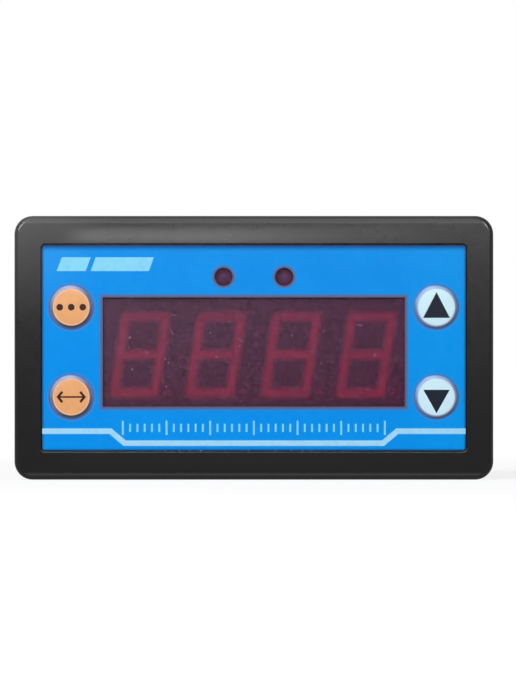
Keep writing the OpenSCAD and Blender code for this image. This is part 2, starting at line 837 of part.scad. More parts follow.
// Main circuit board with its holes
module circuit_board() color("#2f6b3a") slab(board_front, board_rear) difference() {
    round_rect(board_w, board_h, board_corner_r);
    for (hole = board_holes) translate([hole.x, hole.y]) circle(d = hole.z);
}

// Pan-head screws that hold the board to the bezel's bosses
module board_screws() color("#b4b6ba") for (at = bosses) difference() {
    union() {
        bar(at, board_rear - screw_len, board_rear + join, screw_d);
        behind_board(at) rotate_extrude() polygon([
            [0, 0], [screw_head_d / 2, 0], [screw_head_d / 2, screw_head_h / 2],
            [screw_head_d / 2 - screw_head_bevel, screw_head_h], [0, screw_head_h],
        ]);
    }
    behind_board(at) translate([0, 0, screw_head_h]) {
        cube([cross_len, cross_w, 2 * cross_d], center = true);
        cube([cross_w, cross_len, 2 * cross_d], center = true);
    }
}

// Housing of the terminal block: wire entries below and screw wells behind
module terminal_housing() color("#3f9c58") {
    rear = board_rear + terminal_h;
    difference() {
        across(0, terminal_w) polygon([
            [board_rear, terminal_low], [board_rear, terminal_high], [rear, terminal_high],
            [rear, terminal_low + bevel_run], [rear - bevel_rise, terminal_low],
        ]);
        for (x = terminal_xs) {
            block(
                [x - entry_w / 2, entry_floor_y, terminal_low - cut],
                [x + entry_w / 2, entry_top_y, terminal_high - entry_back]
            );
            bar([x, terminal_z], entry_top_y - join, well_y + join, neck_d);
            bar([x, terminal_z], well_y, rear + cut, well_d);
            slab(board_rear - cut, entry_floor_y + join) translate([x, terminal_z])
                square([terminal_pin_w + 2 * pin_gap, terminal_pin_t + 2 * pin_gap], center = true);
        }
    }
}

// Clamping cages inside the terminal block
module terminal_clamps() color("#c9c9c4") for (x = terminal_xs) {
    half = entry_w / 2 - clamp_gap;
    top = entry_top_y - clamp_gap;
    difference() {
        block(
            [x - half, entry_floor_y, terminal_z - clamp_len / 2],
            [x + half, top, terminal_z + clamp_len / 2]
        );
        block(
            [x - half + clamp_wall, entry_floor_y + clamp_wall, terminal_z - clamp_len],
            [x + half - clamp_wall, top - clamp_head, terminal_z + clamp_len]
        );
        bar([x, terminal_z], top - clamp_head - join, top + cut, terminal_shank_d + 2 * screw_gap);
    }
}

// Slotted screws of the terminal block
module terminal_screws() color("#c2c4c8") for (x = terminal_xs) difference() {
    union() {
        bar([x, terminal_z], well_y, well_y + terminal_head_h, terminal_screw_d);
        bar([x, terminal_z], entry_floor_y + 2 * clamp_wall, well_y + join, terminal_shank_d);
    }
    translate([x, well_y + terminal_head_h, terminal_z])
        cube([terminal_screw_d + cut, 2 * slot_d, slot_w], center = true);
}

// Solder pins of the terminal block
module terminal_pins() color("#c8c8c8") slab(board_front - front_reach, entry_floor_y)
    for (x = terminal_xs) translate([x, terminal_z]) square([terminal_pin_w, terminal_pin_t], center = true);

// Moulded body of a chip
module chip(at, size) color("#1e1e20") behind_board(at) translate([0, 0, chip_standoff + size.z / 2])
    cube(size, center = true);

// Bent leads of a chip, on its upper and lower side
module chip_leads(at, size, count, pitch) color("#c8c8c8") behind_board(at) {
    edge = size.y / 2;
    mid = chip_standoff + size.z / 2;
    knee = edge + chip_lead_reach - chip_foot;
    for (i = [0 : count - 1], side = [-1, 1])
        translate([(i - (count - 1) / 2) * pitch - chip_lead_w / 2, 0, 0])
            rotate([90, 0, 90]) linear_extrude(chip_lead_w) polygon([
                for (p = [
                    [edge, mid], [knee, mid], [knee, chip_lead_t], [knee + chip_foot, chip_lead_t],
                    [knee + chip_foot, 0], [knee - chip_lead_t, 0],
                    [knee - chip_lead_t, mid - chip_lead_t], [edge, mid - chip_lead_t],
                ]) [side * p.x, p.y]
            ]);
}

// Leads and tab of the voltage regulator
module regulator_leads() color("#c8c8c8") behind_board(regulator_at) {
    edge = regulator_body.y / 2;
    for (i = [-1 : 1])
        translate([i * regulator_lead_pitch, edge + chip_lead_reach / 2, chip_lead_t / 2 + chip_standoff])
            cube([regulator_lead_w, chip_lead_reach, chip_lead_t], center = true);
    translate([0, -edge - chip_lead_reach / 2, chip_lead_t / 2 + chip_standoff])
        cube([regulator_tab_w, chip_lead_reach, chip_lead_t], center = true);
}

// Round capacitors that smooth the supply, each with a rolled groove near its foot
module filter_capacitors() color("#1f2a44") for (at = capacitor_ats) behind_board(at) rotate_extrude() {
    r = capacitor_d / 2;
    polygon([
        [0, 0], [r, 0], [r, groove_low], [r - capacitor_groove, groove_mid], [r, groove_high],
        [r, capacitor_len - capacitor_groove], [r - capacitor_groove, capacitor_len], [0, capacitor_len],
    ]);
}

// Wire leads of the capacitors
module capacitor_leads() color("#c8c8c8")
    for (at = capacitor_lead_ats) bar(at, board_front - front_reach, board_rear, round_lead_d);

// Metal can of the crystal on its flat rim
module crystal() color("#b9bcc0") behind_board(crystal_at) {
    linear_extrude(crystal_rim) round_rect(crystal_size.x, crystal_size.y, crystal_end_r);
    linear_extrude(crystal_size.z) round_rect(
        crystal_size.x - 2 * crystal_rim, crystal_size.y - 2 * crystal_rim, crystal_end_r - crystal_rim
    );
}

// Wire leads of the crystal
module crystal_leads() color("#c8c8c8")
    for (at = crystal_lead_ats) bar(at, board_front - front_reach, board_rear, round_lead_d);

// Chip resistors in a column between the microcontroller and the display driver
module chip_resistors() color("#26262a")
    for (i = [0 : resistors - 1])
        behind_board([resistor_x, display_z + (i - (resistors - 1) / 2) * resistor_pitch])
            translate([0, 0, resistor_size.z / 2]) cube(resistor_size, center = true);

// Chip capacitors on the other side of the microcontroller
module chip_capacitors() color("#b08d62")
    for (i = [-1 : 1]) behind_board([chip_capacitor_x, display_z + i * chip_capacitor_pitch])
        translate([0, 0, chip_capacitor_size.z / 2]) cube(chip_capacitor_size, center = true);

// Diode that protects the supply input
module protection_diode() color("#1e1e20") behind_board(diode_at)
    translate([0, 0, diode_size.z / 2]) cube(diode_size, center = true);

front_bezel();
rear_case();
front_overlay();
window_filter();
display_body();
display_segments();
display_base();
display_pins();
indicator(indicator_xs[0]);  // indicator_left
indicator(indicator_xs[1]);  // indicator_right
indicator_leads();
key_cap(menu_at, "#e8a874");  // cap_menu
key_cap(shift_at, "#e8a874");  // cap_shift
key_cap(up_at, "#c8e4f0");  // cap_up
key_cap(down_at, "#c8e4f0");  // cap_down
plunger(menu_at);  // plunger_menu
plunger(shift_at);  // plunger_shift
plunger(up_at);  // plunger_up
plunger(down_at);  // plunger_down
switch_bases();
switch_covers();
switch_domes();
switch_terminals();
circuit_board();
board_screws();
terminal_housing();
terminal_clamps();
terminal_screws();
terminal_pins();
chip(microcontroller_at, wide_chip);  // microcontroller
chip_leads(microcontroller_at, wide_chip, wide_chip_leads, chip_lead_pitch);  // microcontroller_leads
chip(driver_at, wide_chip);  // display_driver
chip_leads(driver_at, wide_chip, wide_chip_leads, chip_lead_pitch);  // display_driver_leads
chip(memory_at, small_chip);  // memory_chip
chip_leads(memory_at, small_chip, small_chip_leads, chip_lead_pitch);  // memory_chip_leads
chip(optocoupler_at, coupler_chip);  // optocoupler
chip_leads(optocoupler_at, coupler_chip, coupler_leads, coupler_lead_pitch);  // optocoupler_leads
chip(regulator_at, regulator_body);  // voltage_regulator
regulator_leads();
filter_capacitors();
capacitor_leads();
crystal();
crystal_leads();
chip_resistors();
chip_capacitors();
protection_diode();
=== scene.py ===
import json
import math
import random

import bmesh
import bpy
from mathutils import Matrix, Vector


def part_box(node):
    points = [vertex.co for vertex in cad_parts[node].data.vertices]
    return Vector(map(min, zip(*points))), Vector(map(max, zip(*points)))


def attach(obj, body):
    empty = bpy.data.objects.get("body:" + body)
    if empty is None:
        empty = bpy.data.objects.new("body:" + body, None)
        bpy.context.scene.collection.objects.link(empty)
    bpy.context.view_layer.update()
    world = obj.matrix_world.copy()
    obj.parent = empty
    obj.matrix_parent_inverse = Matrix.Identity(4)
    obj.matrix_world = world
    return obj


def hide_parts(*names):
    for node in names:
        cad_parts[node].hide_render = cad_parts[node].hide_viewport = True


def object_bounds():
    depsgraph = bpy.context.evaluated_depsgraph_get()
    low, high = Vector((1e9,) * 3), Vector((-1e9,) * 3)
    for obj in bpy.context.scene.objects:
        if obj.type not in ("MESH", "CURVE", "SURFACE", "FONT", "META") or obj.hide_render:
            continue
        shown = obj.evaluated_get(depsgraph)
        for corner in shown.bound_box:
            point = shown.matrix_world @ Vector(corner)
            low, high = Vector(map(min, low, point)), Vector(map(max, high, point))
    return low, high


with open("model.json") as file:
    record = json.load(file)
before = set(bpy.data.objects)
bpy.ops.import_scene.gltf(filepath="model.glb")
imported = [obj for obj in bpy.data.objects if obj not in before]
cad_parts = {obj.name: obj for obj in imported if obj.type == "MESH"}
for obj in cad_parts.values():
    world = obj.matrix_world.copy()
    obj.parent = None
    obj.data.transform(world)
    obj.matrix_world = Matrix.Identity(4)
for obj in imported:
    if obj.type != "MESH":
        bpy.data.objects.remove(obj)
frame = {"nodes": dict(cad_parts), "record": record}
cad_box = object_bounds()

# One millimetre in metres
MM = 0.001
nodes = frame["nodes"]
SLOT_OF = {part["node"]: part["material_slot"] for part in frame["record"]["subparts"]}


def corners(node):
    """Lowest and highest corner of a node at rest, in millimetres."""
    return [Vector(corner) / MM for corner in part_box(node)]


def middle(node):
    """Centre of a node as seen on the face, x and z in millimetres."""
    low, high = corners(node)
    return ((low.x + high.x) / 2, (low.z + high.z) / 2)


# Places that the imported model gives, in millimetres
FILM_LOW, FILM_HIGH = corners("front_overlay")
FILM_FRONT = FILM_LOW.y
FILTER_FRONT = corners("window_filter")[0].y
CAP_FRONT = corners("cap_up")[0].y
KEY_X, KEY_HIGH = middle("plunger_up")
KEY_LOW = middle("plunger_down")[1]
INDICATOR_X, INDICATOR_Z = middle("indicator_right")

# Openings and key caps, in millimetres, whose sizes no node's box gives
WINDOW_W = 49.8
WINDOW_H = 18.0
WINDOW_Z = -0.7
INDICATOR_WINDOW_D = 3.0
CAP_D = 7.0
CAP_FLAT_D = 6.1
SKIRT_R = 3.65

# Digits in millimetres and degrees, as they show through the filter, and their decimal points
DIGIT_W = 8.04
DIGIT_H = 14.05
DIGIT_CORNER = 0.85
DIGIT_PITCH = 12.45
DIGIT_SHIFT = 0.08
DIGIT_SLANT = 8.4
DISPLAY_Z = -1.13
LEVEL_SEGMENT_W = 1.45
UPRIGHT_SEGMENT_W = 1.39
POINT_X = 5.42
POINT_Z = -6.2

# The digits' glow starts to fade this far inside a stroke's edge, and is gone after the blur, in millimetres
FADE_INSIDE = 0.68
DIGIT_BLUR = 1.35

# Thickness of ink in front of the film's face, and how far it reaches in behind, in millimetres
INK_PROUD = 0.012
INK_SUNK = 0.02


def srgb(red, green, blue):
    """A colour from its 0 to 255 screen values."""
    def channel(value):
        value /= 255
        return value / 12.92 if value <= 0.04045 else ((value + 0.055) / 1.055) ** 2.4
    return (channel(red), channel(green), channel(blue), 1)


def scaled(color, factor, lift=0.0):
    """A colour made darker or brighter by factor, and raised by lift."""
    return tuple(min(1.0, channel * factor + lift) for channel in color[:3]) + (1,)


# Nodes of any tree

def feed(tree, socket, value):
    """Links another socket to this one, or gives it a plain value."""
    if isinstance(value, bpy.types.NodeSocket):
        tree.links.new(value, socket)
    else:
        socket.default_value = value


def add_node(tree, kind, values=None, **settings):
    """A new node with its settings, and its inputs fed by name or number."""
    made = tree.nodes.new(kind)
    for key, value in settings.items():
        setattr(made, key, value)
    for key, value in (values or {}).items():
        feed(tree, made.inputs[key], value)
    return made


def calculate(tree, operation, *values):
    """Result of a Math node on sockets or numbers."""
    made = add_node(tree, "ShaderNodeMath", operation=operation)
    for socket, value in zip(made.inputs, values):
        feed(tree, socket, value)
    return made.outputs[0]


# Finishes

class Finish:
    """A node material on one Principled shader, patterned on Object coordinates."""

    def __init__(self, name, color, roughness, **sockets):
        self.material = bpy.data.materials.new(name)
        self.material.use_nodes = True
        self.tree = self.material.node_tree
        self.shader = self.tree.nodes["Principled BSDF"]
        self.place = self.node("ShaderNodeTexCoord").outputs["Object"]
        self.color = color
        self.roughness = roughness
        self.relief = None
        self.give("Base Color", color)
        self.give("Roughness", roughness)
        for socket, value in sockets.items():
            self.give(socket.replace("_", " "), value)

    def node(self, kind, values=None, **settings):
        return add_node(self.tree, kind, values, **settings)

    def calc(self, operation, *values):
        return calculate(self.tree, operation, *values)

    def give(self, socket, value):
        """Feeds one of the shader's sockets."""
        feed(self.tree, self.shader.inputs[socket], value)

    def remap(self, value, low, high, to_low=0.0, to_high=1.0, curve="LINEAR"):
        """A value held between low and high, and carried over to another range."""
        return self.node(
            "ShaderNodeMapRange",
            {"Value": value, "From Min": low, "From Max": high, "To Min": to_low, "To Max": to_high},
            interpolation_type=curve,
        ).outputs["Result"]

    def fade(self, value, low, high, to_low=0.0, to_high=1.0):
        """A remap that starts and ends softly."""
        return self.remap(value, low, high, to_low, to_high, "SMOOTHSTEP")

    def noise(self, size, detail=2.0, stretch=(1, 1, 1), seed=0.0):
        """Noise with features of about size millimetres."""
        place = self.node(
            "ShaderNodeMapping", {"Vector": self.place, "Scale": stretch, "Location": (seed, seed, seed)},
        ).outputs[0]
        return self.node(
            "ShaderNodeTexNoise", {"Vector": place, "Scale": 1 / (size * MM), "Detail": detail},
        ).outputs["Fac"]

    def tint(self, factor, color):
        """Lays color over what is there, by factor."""
        self.color = self.node(
            "ShaderNodeMix", {"Factor": factor, "A": self.color, "B": color}, data_type="RGBA",
        ).outputs["Result"]
        self.give("Base Color", self.color)

    def mottle(self, size, color, low, high, strength=1.0, detail=3.0, seed=0.0):
        """Lays color over patches of about size millimetres, where noise rises from low to high."""
        self.tint(self.remap(self.noise(size, detail, seed=seed), low, high, 0.0, strength), color)

    def tint_near(self, distance, start, end, strength, color):
        """Lays color over what is nearer than start, and less of it up to end."""
        self.tint(self.fade(distance, start, end, strength, 0.0), color)

    def rough(self, factor, low, high):
        """Roughness from low to high, by factor."""
        self.roughness = self.remap(factor, 0.0, 1.0, low, high)
        self.give("Roughness", self.roughness)

    def roughen(self, extra):
        """Adds extra to the roughness that is there."""
        self.roughness = self.calc("ADD", self.roughness, extra)
        self.give("Roughness", self.roughness)

    def bump(self, height, depth):
        """Relief of depth millimetres."""
        values = {"Height": height, "Distance": depth * MM, "Strength": 1.0}
        if self.relief is not None:
            values["Normal"] = self.relief
        self.relief = self.node("ShaderNodeBump", values).outputs["Normal"]
        self.give("Normal", self.relief)

    def dust(self, size, share, color, strength):
        """Scattered specks of about size millimetres, one in a share of the cells."""
        cell = size * 7
        cells = self.node("ShaderNodeTexVoronoi", {"Vector": self.place, "Scale": 1 / (cell * MM)}).outputs
        near = self.remap(cells["Distance"], 0.07, 0.13, 1.0, 0.0)
        chosen = self.calc("LESS_THAN", cells["Color"], share)
        self.tint(self.calc("MULTIPLY", self.calc("MULTIPLY", near, chosen), strength), color)

    def in_mm(self, name):
        """One of the Object coordinates in millimetres."""
        split = self.node("ShaderNodeSeparateXYZ", {0: self.place})
        return self.calc("DIVIDE", split.outputs[name], MM)

    def length(self, x, z):
        """Length of a step of x and z."""
        return self.calc("SQRT", self.calc("ADD", self.calc("MULTIPLY", x, x), self.calc("MULTIPLY", z, z)))

    def from_box(self, x, z, half_w, half_h):
        """How far x and z lie outside a box round 0, negative inside."""
        return self.calc(
            "MAXIMUM",
            self.calc("SUBTRACT", self.calc("ABSOLUTE", x), half_w),
            self.calc("SUBTRACT", self.calc("ABSOLUTE", z), half_h),
        )

    def from_circles(self, x, heights, radius):
        """Distance from the nearest circle. Each height has two, at x to the left and to the right."""
        across = self.calc("SUBTRACT", self.calc("ABSOLUTE", self.in_mm("X")), x)
        nearest = None
        for height in heights:
            reach = self.length(across, self.calc("SUBTRACT", self.in_mm("Z"), height))
            nearest = reach if nearest is None else self.calc("MINIMUM", nearest, reach)
        return self.calc("ABSOLUTE", self.calc("SUBTRACT", nearest, radius))

    def from_key_circle(self, radius):
        """Distance from a circle round the nearest key's axis."""
        return self.from_circles(KEY_X, (KEY_HIGH, KEY_LOW), radius)

    def from_indicator_edge(self):
        """Distance from the edge of the nearest indicator opening."""
        return self.from_circles(INDICATOR_X, (INDICATOR_Z,), INDICATOR_WINDOW_D / 2)

    def from_window(self):
        """How far a place is outside the display's window."""
        rise = self.calc("SUBTRACT", self.in_mm("Z"), WINDOW_Z)
        return self.from_box(self.in_mm("X"), rise, WINDOW_W / 2, WINDOW_H / 2)

    def digits(self):
        """1 on the segments of the four digits, fading over their edges, and less on the decimal points."""
        rise = self.calc("SUBTRACT", self.in_mm("Z"), DISPLAY_Z)
        lean = self.calc("MULTIPLY", rise, math.tan(math.radians(DIGIT_SLANT)))
        along = self.calc("SUBTRACT", self.calc("ADD", self.in_mm("X"), DIGIT_SHIFT), lean)
        across = self.calc("SUBTRACT", self.calc("WRAP", along, DIGIT_PITCH, 0.0), DIGIT_PITCH / 2)
        inside_hole = self.calc("MULTIPLY", self.outside_holes(across, rise), -1.0)
        edge = self.calc("MAXIMUM", self.outside_digit(across, rise), inside_hole)
        shade = self.fade(edge, -FADE_INSIDE, DIGIT_BLUR - FADE_INSIDE, 1.0, 0.0)
        uneven = self.remap(self.noise(1.3, 3.0, seed=2.0), 0.38, 0.66, 0.84, 1.05)
        dimmer_top = self.fade(rise, 5.0, 6.4, 1.0, 0.74)
        lit = self.calc("MULTIPLY", shade, self.calc("MULTIPLY", uneven, dimmer_top))
        from_point = self.length(self.calc("SUBTRACT", across, POINT_X), self.calc("SUBTRACT", rise, POINT_Z))
        return self.calc("MAXIMUM", lit, self.fade(from_point, 0.3, 1.1, 0.26, 0.0))

    def outside_digit(self, across, rise):
        """How far a place is outside the round-cornered outline of a digit."""
        half_w, half_h = DIGIT_W / 2 - DIGIT_CORNER, DIGIT_H / 2 - DIGIT_CORNER
        past_side, past_end = (
            self.calc("MAXIMUM", self.calc("SUBTRACT", self.calc("ABSOLUTE", value), half), 0.0)
            for value, half in ((across, half_w), (rise, half_h))
        )
        inside = self.calc("MINIMUM", self.from_box(across, rise, half_w, half_h), 0.0)
        return self.calc("SUBTRACT", self.calc("ADD", self.length(past_side, past_end), inside), DIGIT_CORNER)

    def outside_holes(self, across, rise):
        """How far a place is outside the two openings in a digit."""
        half_w, half_h = DIGIT_W / 2 - UPRIGHT_SEGMENT_W, (DIGIT_H - 3 * LEVEL_SEGMENT_W) / 4
        from_middle = self.calc("SUBTRACT", self.calc("ABSOLUTE", rise), LEVEL_SEGMENT_W / 2 + half_h)
        return self.from_box(across, from_middle, half_w, half_h)


def moulded(name, color, low, high, grain=0.12, depth=0.004, lift=1.25, **sockets):
    """Moulded plastic with a fine eroded grain and slightly uneven gloss, from low to high."""
    finish = Finish(name, color, low, **sockets)
    finish.mottle(6.0, scaled(color, lift, 0.001), 0.35, 0.7)
    finish.rough(finish.noise(0.9, 4.0), low, high)
    finish.bump(finish.noise(grain, 3.0), depth)
    return finish


def bezel_plastic():
    """Black moulding with painted shade, darker downwards, and a painted sheen, greyer at the upper left,
    with crowned upper and lower bars.
    """
    finish = moulded("bezel_plastic", srgb(16, 16, 17), 0.22, 0.28, 0.14, 0.0025, Specular_IOR_Level=0.25)
    across, up = finish.in_mm("X"), finish.in_mm("Z")
    # Painted shade: darker towards the bottom, away from the light above.
    finish.tint(finish.fade(up, 10.0, -14.0), srgb(5, 5, 6))
    # Painted sheen: greyer at the upper left, towards the softbox.
    painted_sheen_upper_left = finish.calc("MULTIPLY", finish.remap(across, -24.0, -38.0), finish.remap(up, 4.0, 19.0))
    finish.tint(painted_sheen_upper_left, srgb(58, 58, 59))
    high = corners("front_bezel")[1]
    from_side = finish.calc("SUBTRACT", high.x, finish.calc("ABSOLUTE", across))
    from_end = finish.calc("SUBTRACT", high.z, finish.calc("ABSOLUTE", up))
    sunk = finish.fade(from_end, 1.5, 5.4, 1.0, 0.0)
    along = finish.fade(from_side, 4.6, 14.0, 0.0, -1.0)
    leftward = finish.fade(across, -10.0, 30.0, 1.0, 0.25)
    finish.bump(finish.calc("MULTIPLY", sunk, finish.calc("MULTIPLY", along, leftward)), 0.12)
    finish.roughen(finish.fade(from_end, 0.75, 1.3, 0.3, 0.0))
    finish.dust(0.16, 0.12, srgb(120, 120, 124), 0.55)
    return finish


def printed_film():
    """Blue print, greyer round keys and openings, with a painted sheen at the upper left, painted light on
    the right, and painted shade along its rim and below the bezel's upper bar.
    """
    finish = Finish("printed_film", srgb(2, 143, 234), 0.27, Specular_IOR_Level=0.05)
    around_openings = srgb(66, 118, 196)
    finish.mottle(9.0, srgb(4, 149, 238), 0.3, 0.75, detail=2.0)
    finish.tint_near(finish.from_key_circle(CAP_D / 2 + 0.2), 0.0, 0.5, 0.65, srgb(92, 122, 180))
    finish.tint_near(finish.from_window(), 0.4, 0.85, 0.6, around_openings)
    finish.tint_near(finish.from_indicator_edge(), 0.25, 0.75, 0.6, around_openings)
    across, up = finish.in_mm("X"), finish.in_mm("Z")
    # Painted sheen: paler at the upper left, towards the softbox.
    painted_sheen_upper_left = finish.calc("MULTIPLY", finish.fade(across, -24.0, -35.0), finish.fade(up, 4.0, 16.0))
    finish.tint(finish.calc("MULTIPLY", painted_sheen_upper_left, 0.7), srgb(40, 156, 240))
    # Painted light: paler towards the right, where the lamp from the left falls off.
    finish.tint(finish.fade(across, 18.0, 34.0, 0.0, 0.6), srgb(2, 152, 236))
    # Painted shade along the film's rim in the bezel's recess, and a painted shadow below the bezel's upper
    # bar.
    size, center = FILM_HIGH - FILM_LOW, (FILM_LOW + FILM_HIGH) / 2
    edge = finish.from_box(across, finish.calc("SUBTRACT", up, center.z), size.x / 2, size.z / 2)
    finish.tint(finish.fade(edge, -0.4, 0.0, 0.0, 0.7), srgb(14, 56, 112))
    finish.tint(finish.fade(up, FILM_HIGH.z - 1.1, FILM_HIGH.z - 0.1, 0.0, 0.7), srgb(14, 52, 116))
    finish.rough(finish.noise(1.6, 3.0), 0.24, 0.31)
    finish.bump(finish.noise(0.25, 2.0), 0.0008)
    return finish


def ink(name, color, shine=0.1):
    """Printed colour with slightly uneven cover."""
    finish = Finish(name, color, 0.4, Specular_IOR_Level=shine)
    finish.mottle(1.2, scaled(color, 0.9), 0.45, 0.75)
    finish.rough(finish.noise(0.5, 2.0), 0.34, 0.46)
    return finish


def border_ink():
    """Slate at the edge of an opening, turning blue outwards."""
    finish = Finish("border_ink", srgb(84, 92, 124), 0.4, Specular_IOR_Level=0.1)
    outwards = finish.calc("MINIMUM", finish.from_window(), finish.from_indicator_edge())
    finish.tint(finish.fade(outwards, 0.08, 0.5), srgb(64, 116, 176))
    finish.rough(finish.noise(0.5, 2.0), 0.34, 0.46)
    return finish


def red_filter():
    """Tinted sheet with a dusty face. Its alpha is one plain value."""
    finish = Finish("red_filter", srgb(108, 48, 90), 0.3, Alpha=0.27, Specular_IOR_Level=0.06)
    finish.tint(finish.remap(finish.in_mm("X"), WINDOW_W / 2, -WINDOW_W / 2), srgb(124, 82, 112))
    finish.mottle(7.0, srgb(112, 64, 92), 0.3, 0.75, 0.5)
    finish.mottle(1.6, srgb(134, 92, 128), 0.5, 0.8, 0.3)
    finish.tint(finish.remap(finish.in_mm("Z"), 2.0, -9.0, 0.0, 0.4), srgb(104, 30, 58))
    finish.mottle(0.7, srgb(184, 122, 160), 0.52, 0.72, 0.34, detail=2.0)
    finish.mottle(0.6, srgb(40, 8, 30), 0.52, 0.72, 0.74, detail=2.0, seed=9.0)
    finish.rough(finish.noise(2.5, 3.0), 0.24, 0.36)
    return finish


def display_housing():
    """Mottled dark moulding, with a red glow of the unlit digits on its front face."""
    finish = Finish("display_housing", srgb(28, 22, 30), 0.56, Specular_IOR_Level=0.12)
    finish.mottle(2.2, srgb(36, 24, 34), 0.35, 0.75)
    finish.mottle(0.8, srgb(54, 36, 50), 0.5, 0.72, 0.66, detail=2.0, seed=4.0)
    finish.mottle(0.9, srgb(12, 6, 10), 0.52, 0.72, 0.74, detail=2.0, seed=6.0)
    finish.rough(finish.noise(0.9, 3.0), 0.5, 0.62)
    finish.bump(finish.noise(0.3, 2.0), 0.0004)
    on_front = finish.remap(finish.in_mm("Y"), -1.8, -1.6, 0.96, 0.0)
    finish.tint(finish.calc("MULTIPLY", finish.digits(), on_front), srgb(192, 42, 72))
    return finish


def segment_fill():
    """Milky red filling, dark where the digit's glow ends."""
    finish = Finish("segment_fill", srgb(196, 44, 74), 0.5, Specular_IOR_Level=0.12)
    finish.mottle(2.4, srgb(176, 38, 66), 0.3, 0.7)
    finish.tint(finish.remap(finish.digits(), 0.0, 1.0, 1.0, 0.0), srgb(32, 23, 32))
    finish.bump(finish.noise(0.35, 2.0), 0.0004)
    return finish


def laminate():
    """Green mask over a woven board."""
    finish = Finish("laminate", srgb(32, 96, 52), 0.34)
    weave = finish.node(
        "ShaderNodeTexBrick",
        {"Vector": finish.place, "Scale": 1 / (1.1 * MM), "Mortar Size": 0.08,
         "Color1": (0, 0, 0, 1), "Color2": (0.25, 0.25, 0.25, 1), "Mortar": (1, 1, 1, 1)},
    ).outputs["Color"]
    finish.tint(finish.calc("MULTIPLY", weave, 0.25), srgb(66, 140, 84))
    finish.bump(finish.noise(0.5, 2.0), 0.003)
    return finish


def metal(name, color, low, high, size=0.8, stretch=(1, 1, 1)):
    """Bare metal with a fine grain of about size millimetres."""
    finish = Finish(name, color, low, Metallic=1.0)
    grain = finish.noise(size, 3.0, stretch)
    finish.mottle(size * 3, scaled(color, 0.72), 0.4, 0.8)
    finish.rough(grain, low, high)
    finish.bump(grain, 0.002)
    return finish


def lens_epoxy():
    """Dull violet epoxy of an unlit indicator."""
    finish = Finish("lens_epoxy", srgb(78, 58, 112), 0.5, Specular_IOR_Level=0.12)
    finish.mottle(0.8, srgb(80, 46, 92), 0.3, 0.7, detail=2.0)
    return finish


def key_ring():
    """Grey bevel of a key with a painted highlight on faces turned up and left and painted shade on faces
    turned down, cooler on the right keys and blue at its foot.
    """
    finish = Finish("key_ring", srgb(100, 112, 142), 0.3, Specular_IOR_Level=0.4)
    finish.mottle(0.9, srgb(92, 104, 136), 0.35, 0.75)
    normal = finish.node("ShaderNodeTexCoord").outputs["Normal"]
    facing = finish.node("ShaderNodeSeparateXYZ", {0: normal}).outputs
    # Painted highlight on faces turned up and to the left, towards the lamp, and painted shade on faces
    # turned down.
    toward_light = finish.calc("SUBTRACT", facing["Z"], finish.calc("MULTIPLY", facing["X"], 0.35))
    finish.tint(finish.fade(toward_light, 0.1, 0.65, 0.0, 0.8), srgb(176, 178, 206))
    finish.tint(finish.fade(toward_light, -0.1, -0.6, 0.0, 0.85), srgb(52, 50, 66))
    on_right = finish.remap(finish.in_mm("X"), -1.0, 1.0)
    # The painted highlight is bluer on the right keys.
    painted_highlight_on_right = finish.calc("MULTIPLY", finish.fade(toward_light, 0.0, 0.65, 0.0, 0.8), on_right)
    finish.tint(painted_highlight_on_right, srgb(138, 178, 222))
    by_face = finish.fade(finish.from_key_circle(CAP_FLAT_D / 2), 0.1, 0.35, 0.75, 0.0)
    finish.tint(finish.calc("MULTIPLY", by_face, on_right), srgb(156, 188, 220))
    finish.tint_near(finish.from_key_circle(SKIRT_R), 0.0, 0.3, 0.85, srgb(74, 118, 196))
    finish.bump(finish.noise(0.18, 2.0), 0.0012)
    return finish


def key_face(name, color, deeper, rim):
    """Printed face of a key, in patches of two tones, with a painted highlight round its rim in a third."""
    finish = Finish(name, color, 0.34, Specular_IOR_Level=0.12)
    finish.mottle(1.7, deeper, 0.3, 0.75)
    # Painted highlight round the rim of the face.
    finish.tint_near(finish.from_key_circle(CAP_FLAT_D / 2), 0.05, 0.4, 0.6, rim)
    finish.rough(finish.noise(0.6, 2.0), 0.3, 0.4)
    return finish


FINISHES = {
    "bezel_plastic": bezel_plastic(),
    "case_plastic": moulded(
        "case_plastic", srgb(46, 46, 48), 0.58, 0.72, 0.2, 0.006, Specular_IOR_Level=0.18,
    ),
    "printed_film": printed_film(),
    "red_filter": red_filter(),
    "display_housing": display_housing(),
    "segment_fill": segment_fill(),
    "laminate": laminate(),
    "tinned_metal": metal("tinned_metal", srgb(206, 206, 204), 0.26, 0.42),
    "lens_red": lens_epoxy(),
    # The third colour of each key face is its painted rim highlight.
    "key_orange": key_face("key_orange", srgb(238, 172, 116), srgb(230, 163, 108), srgb(246, 200, 168)),
    "key_white": key_face("key_white", srgb(208, 240, 250), srgb(202, 236, 247), srgb(208, 226, 250)),
    "switch_plastic": moulded("switch_plastic", srgb(30, 30, 32), 0.4, 0.52),
    "spring_steel": metal("spring_steel", srgb(196, 198, 200), 0.22, 0.36, 0.5, (1, 1, 12)),
    "screw_steel": metal("screw_steel", srgb(190, 192, 198), 0.24, 0.4, 0.6),
    "terminal_green": moulded("terminal_plastic", srgb(44, 132, 72), 0.34, 0.46, 0.25, lift=1.12),
    "chip_plastic": moulded("chip_plastic", srgb(34, 34, 36), 0.5, 0.66, 0.12, 0.003),
    "capacitor_sleeve": moulded("sleeve", srgb(26, 36, 62), 0.24, 0.36, 0.6, 0.003),
    "ceramic": moulded("ceramic", srgb(168, 138, 98), 0.5, 0.62, 0.2, lift=1.1),
}
RING = key_ring()
BORDER_INK = border_ink()
PALE_INK = ink("pale_ink", srgb(160, 218, 248))
AZURE_INK = ink("azure_ink", srgb(132, 216, 250))
DARK_INK = ink("dark_ink", srgb(24, 32, 48), 0.06)
BROWN_INK = ink("brown_ink", srgb(62, 38, 30), 0.06)
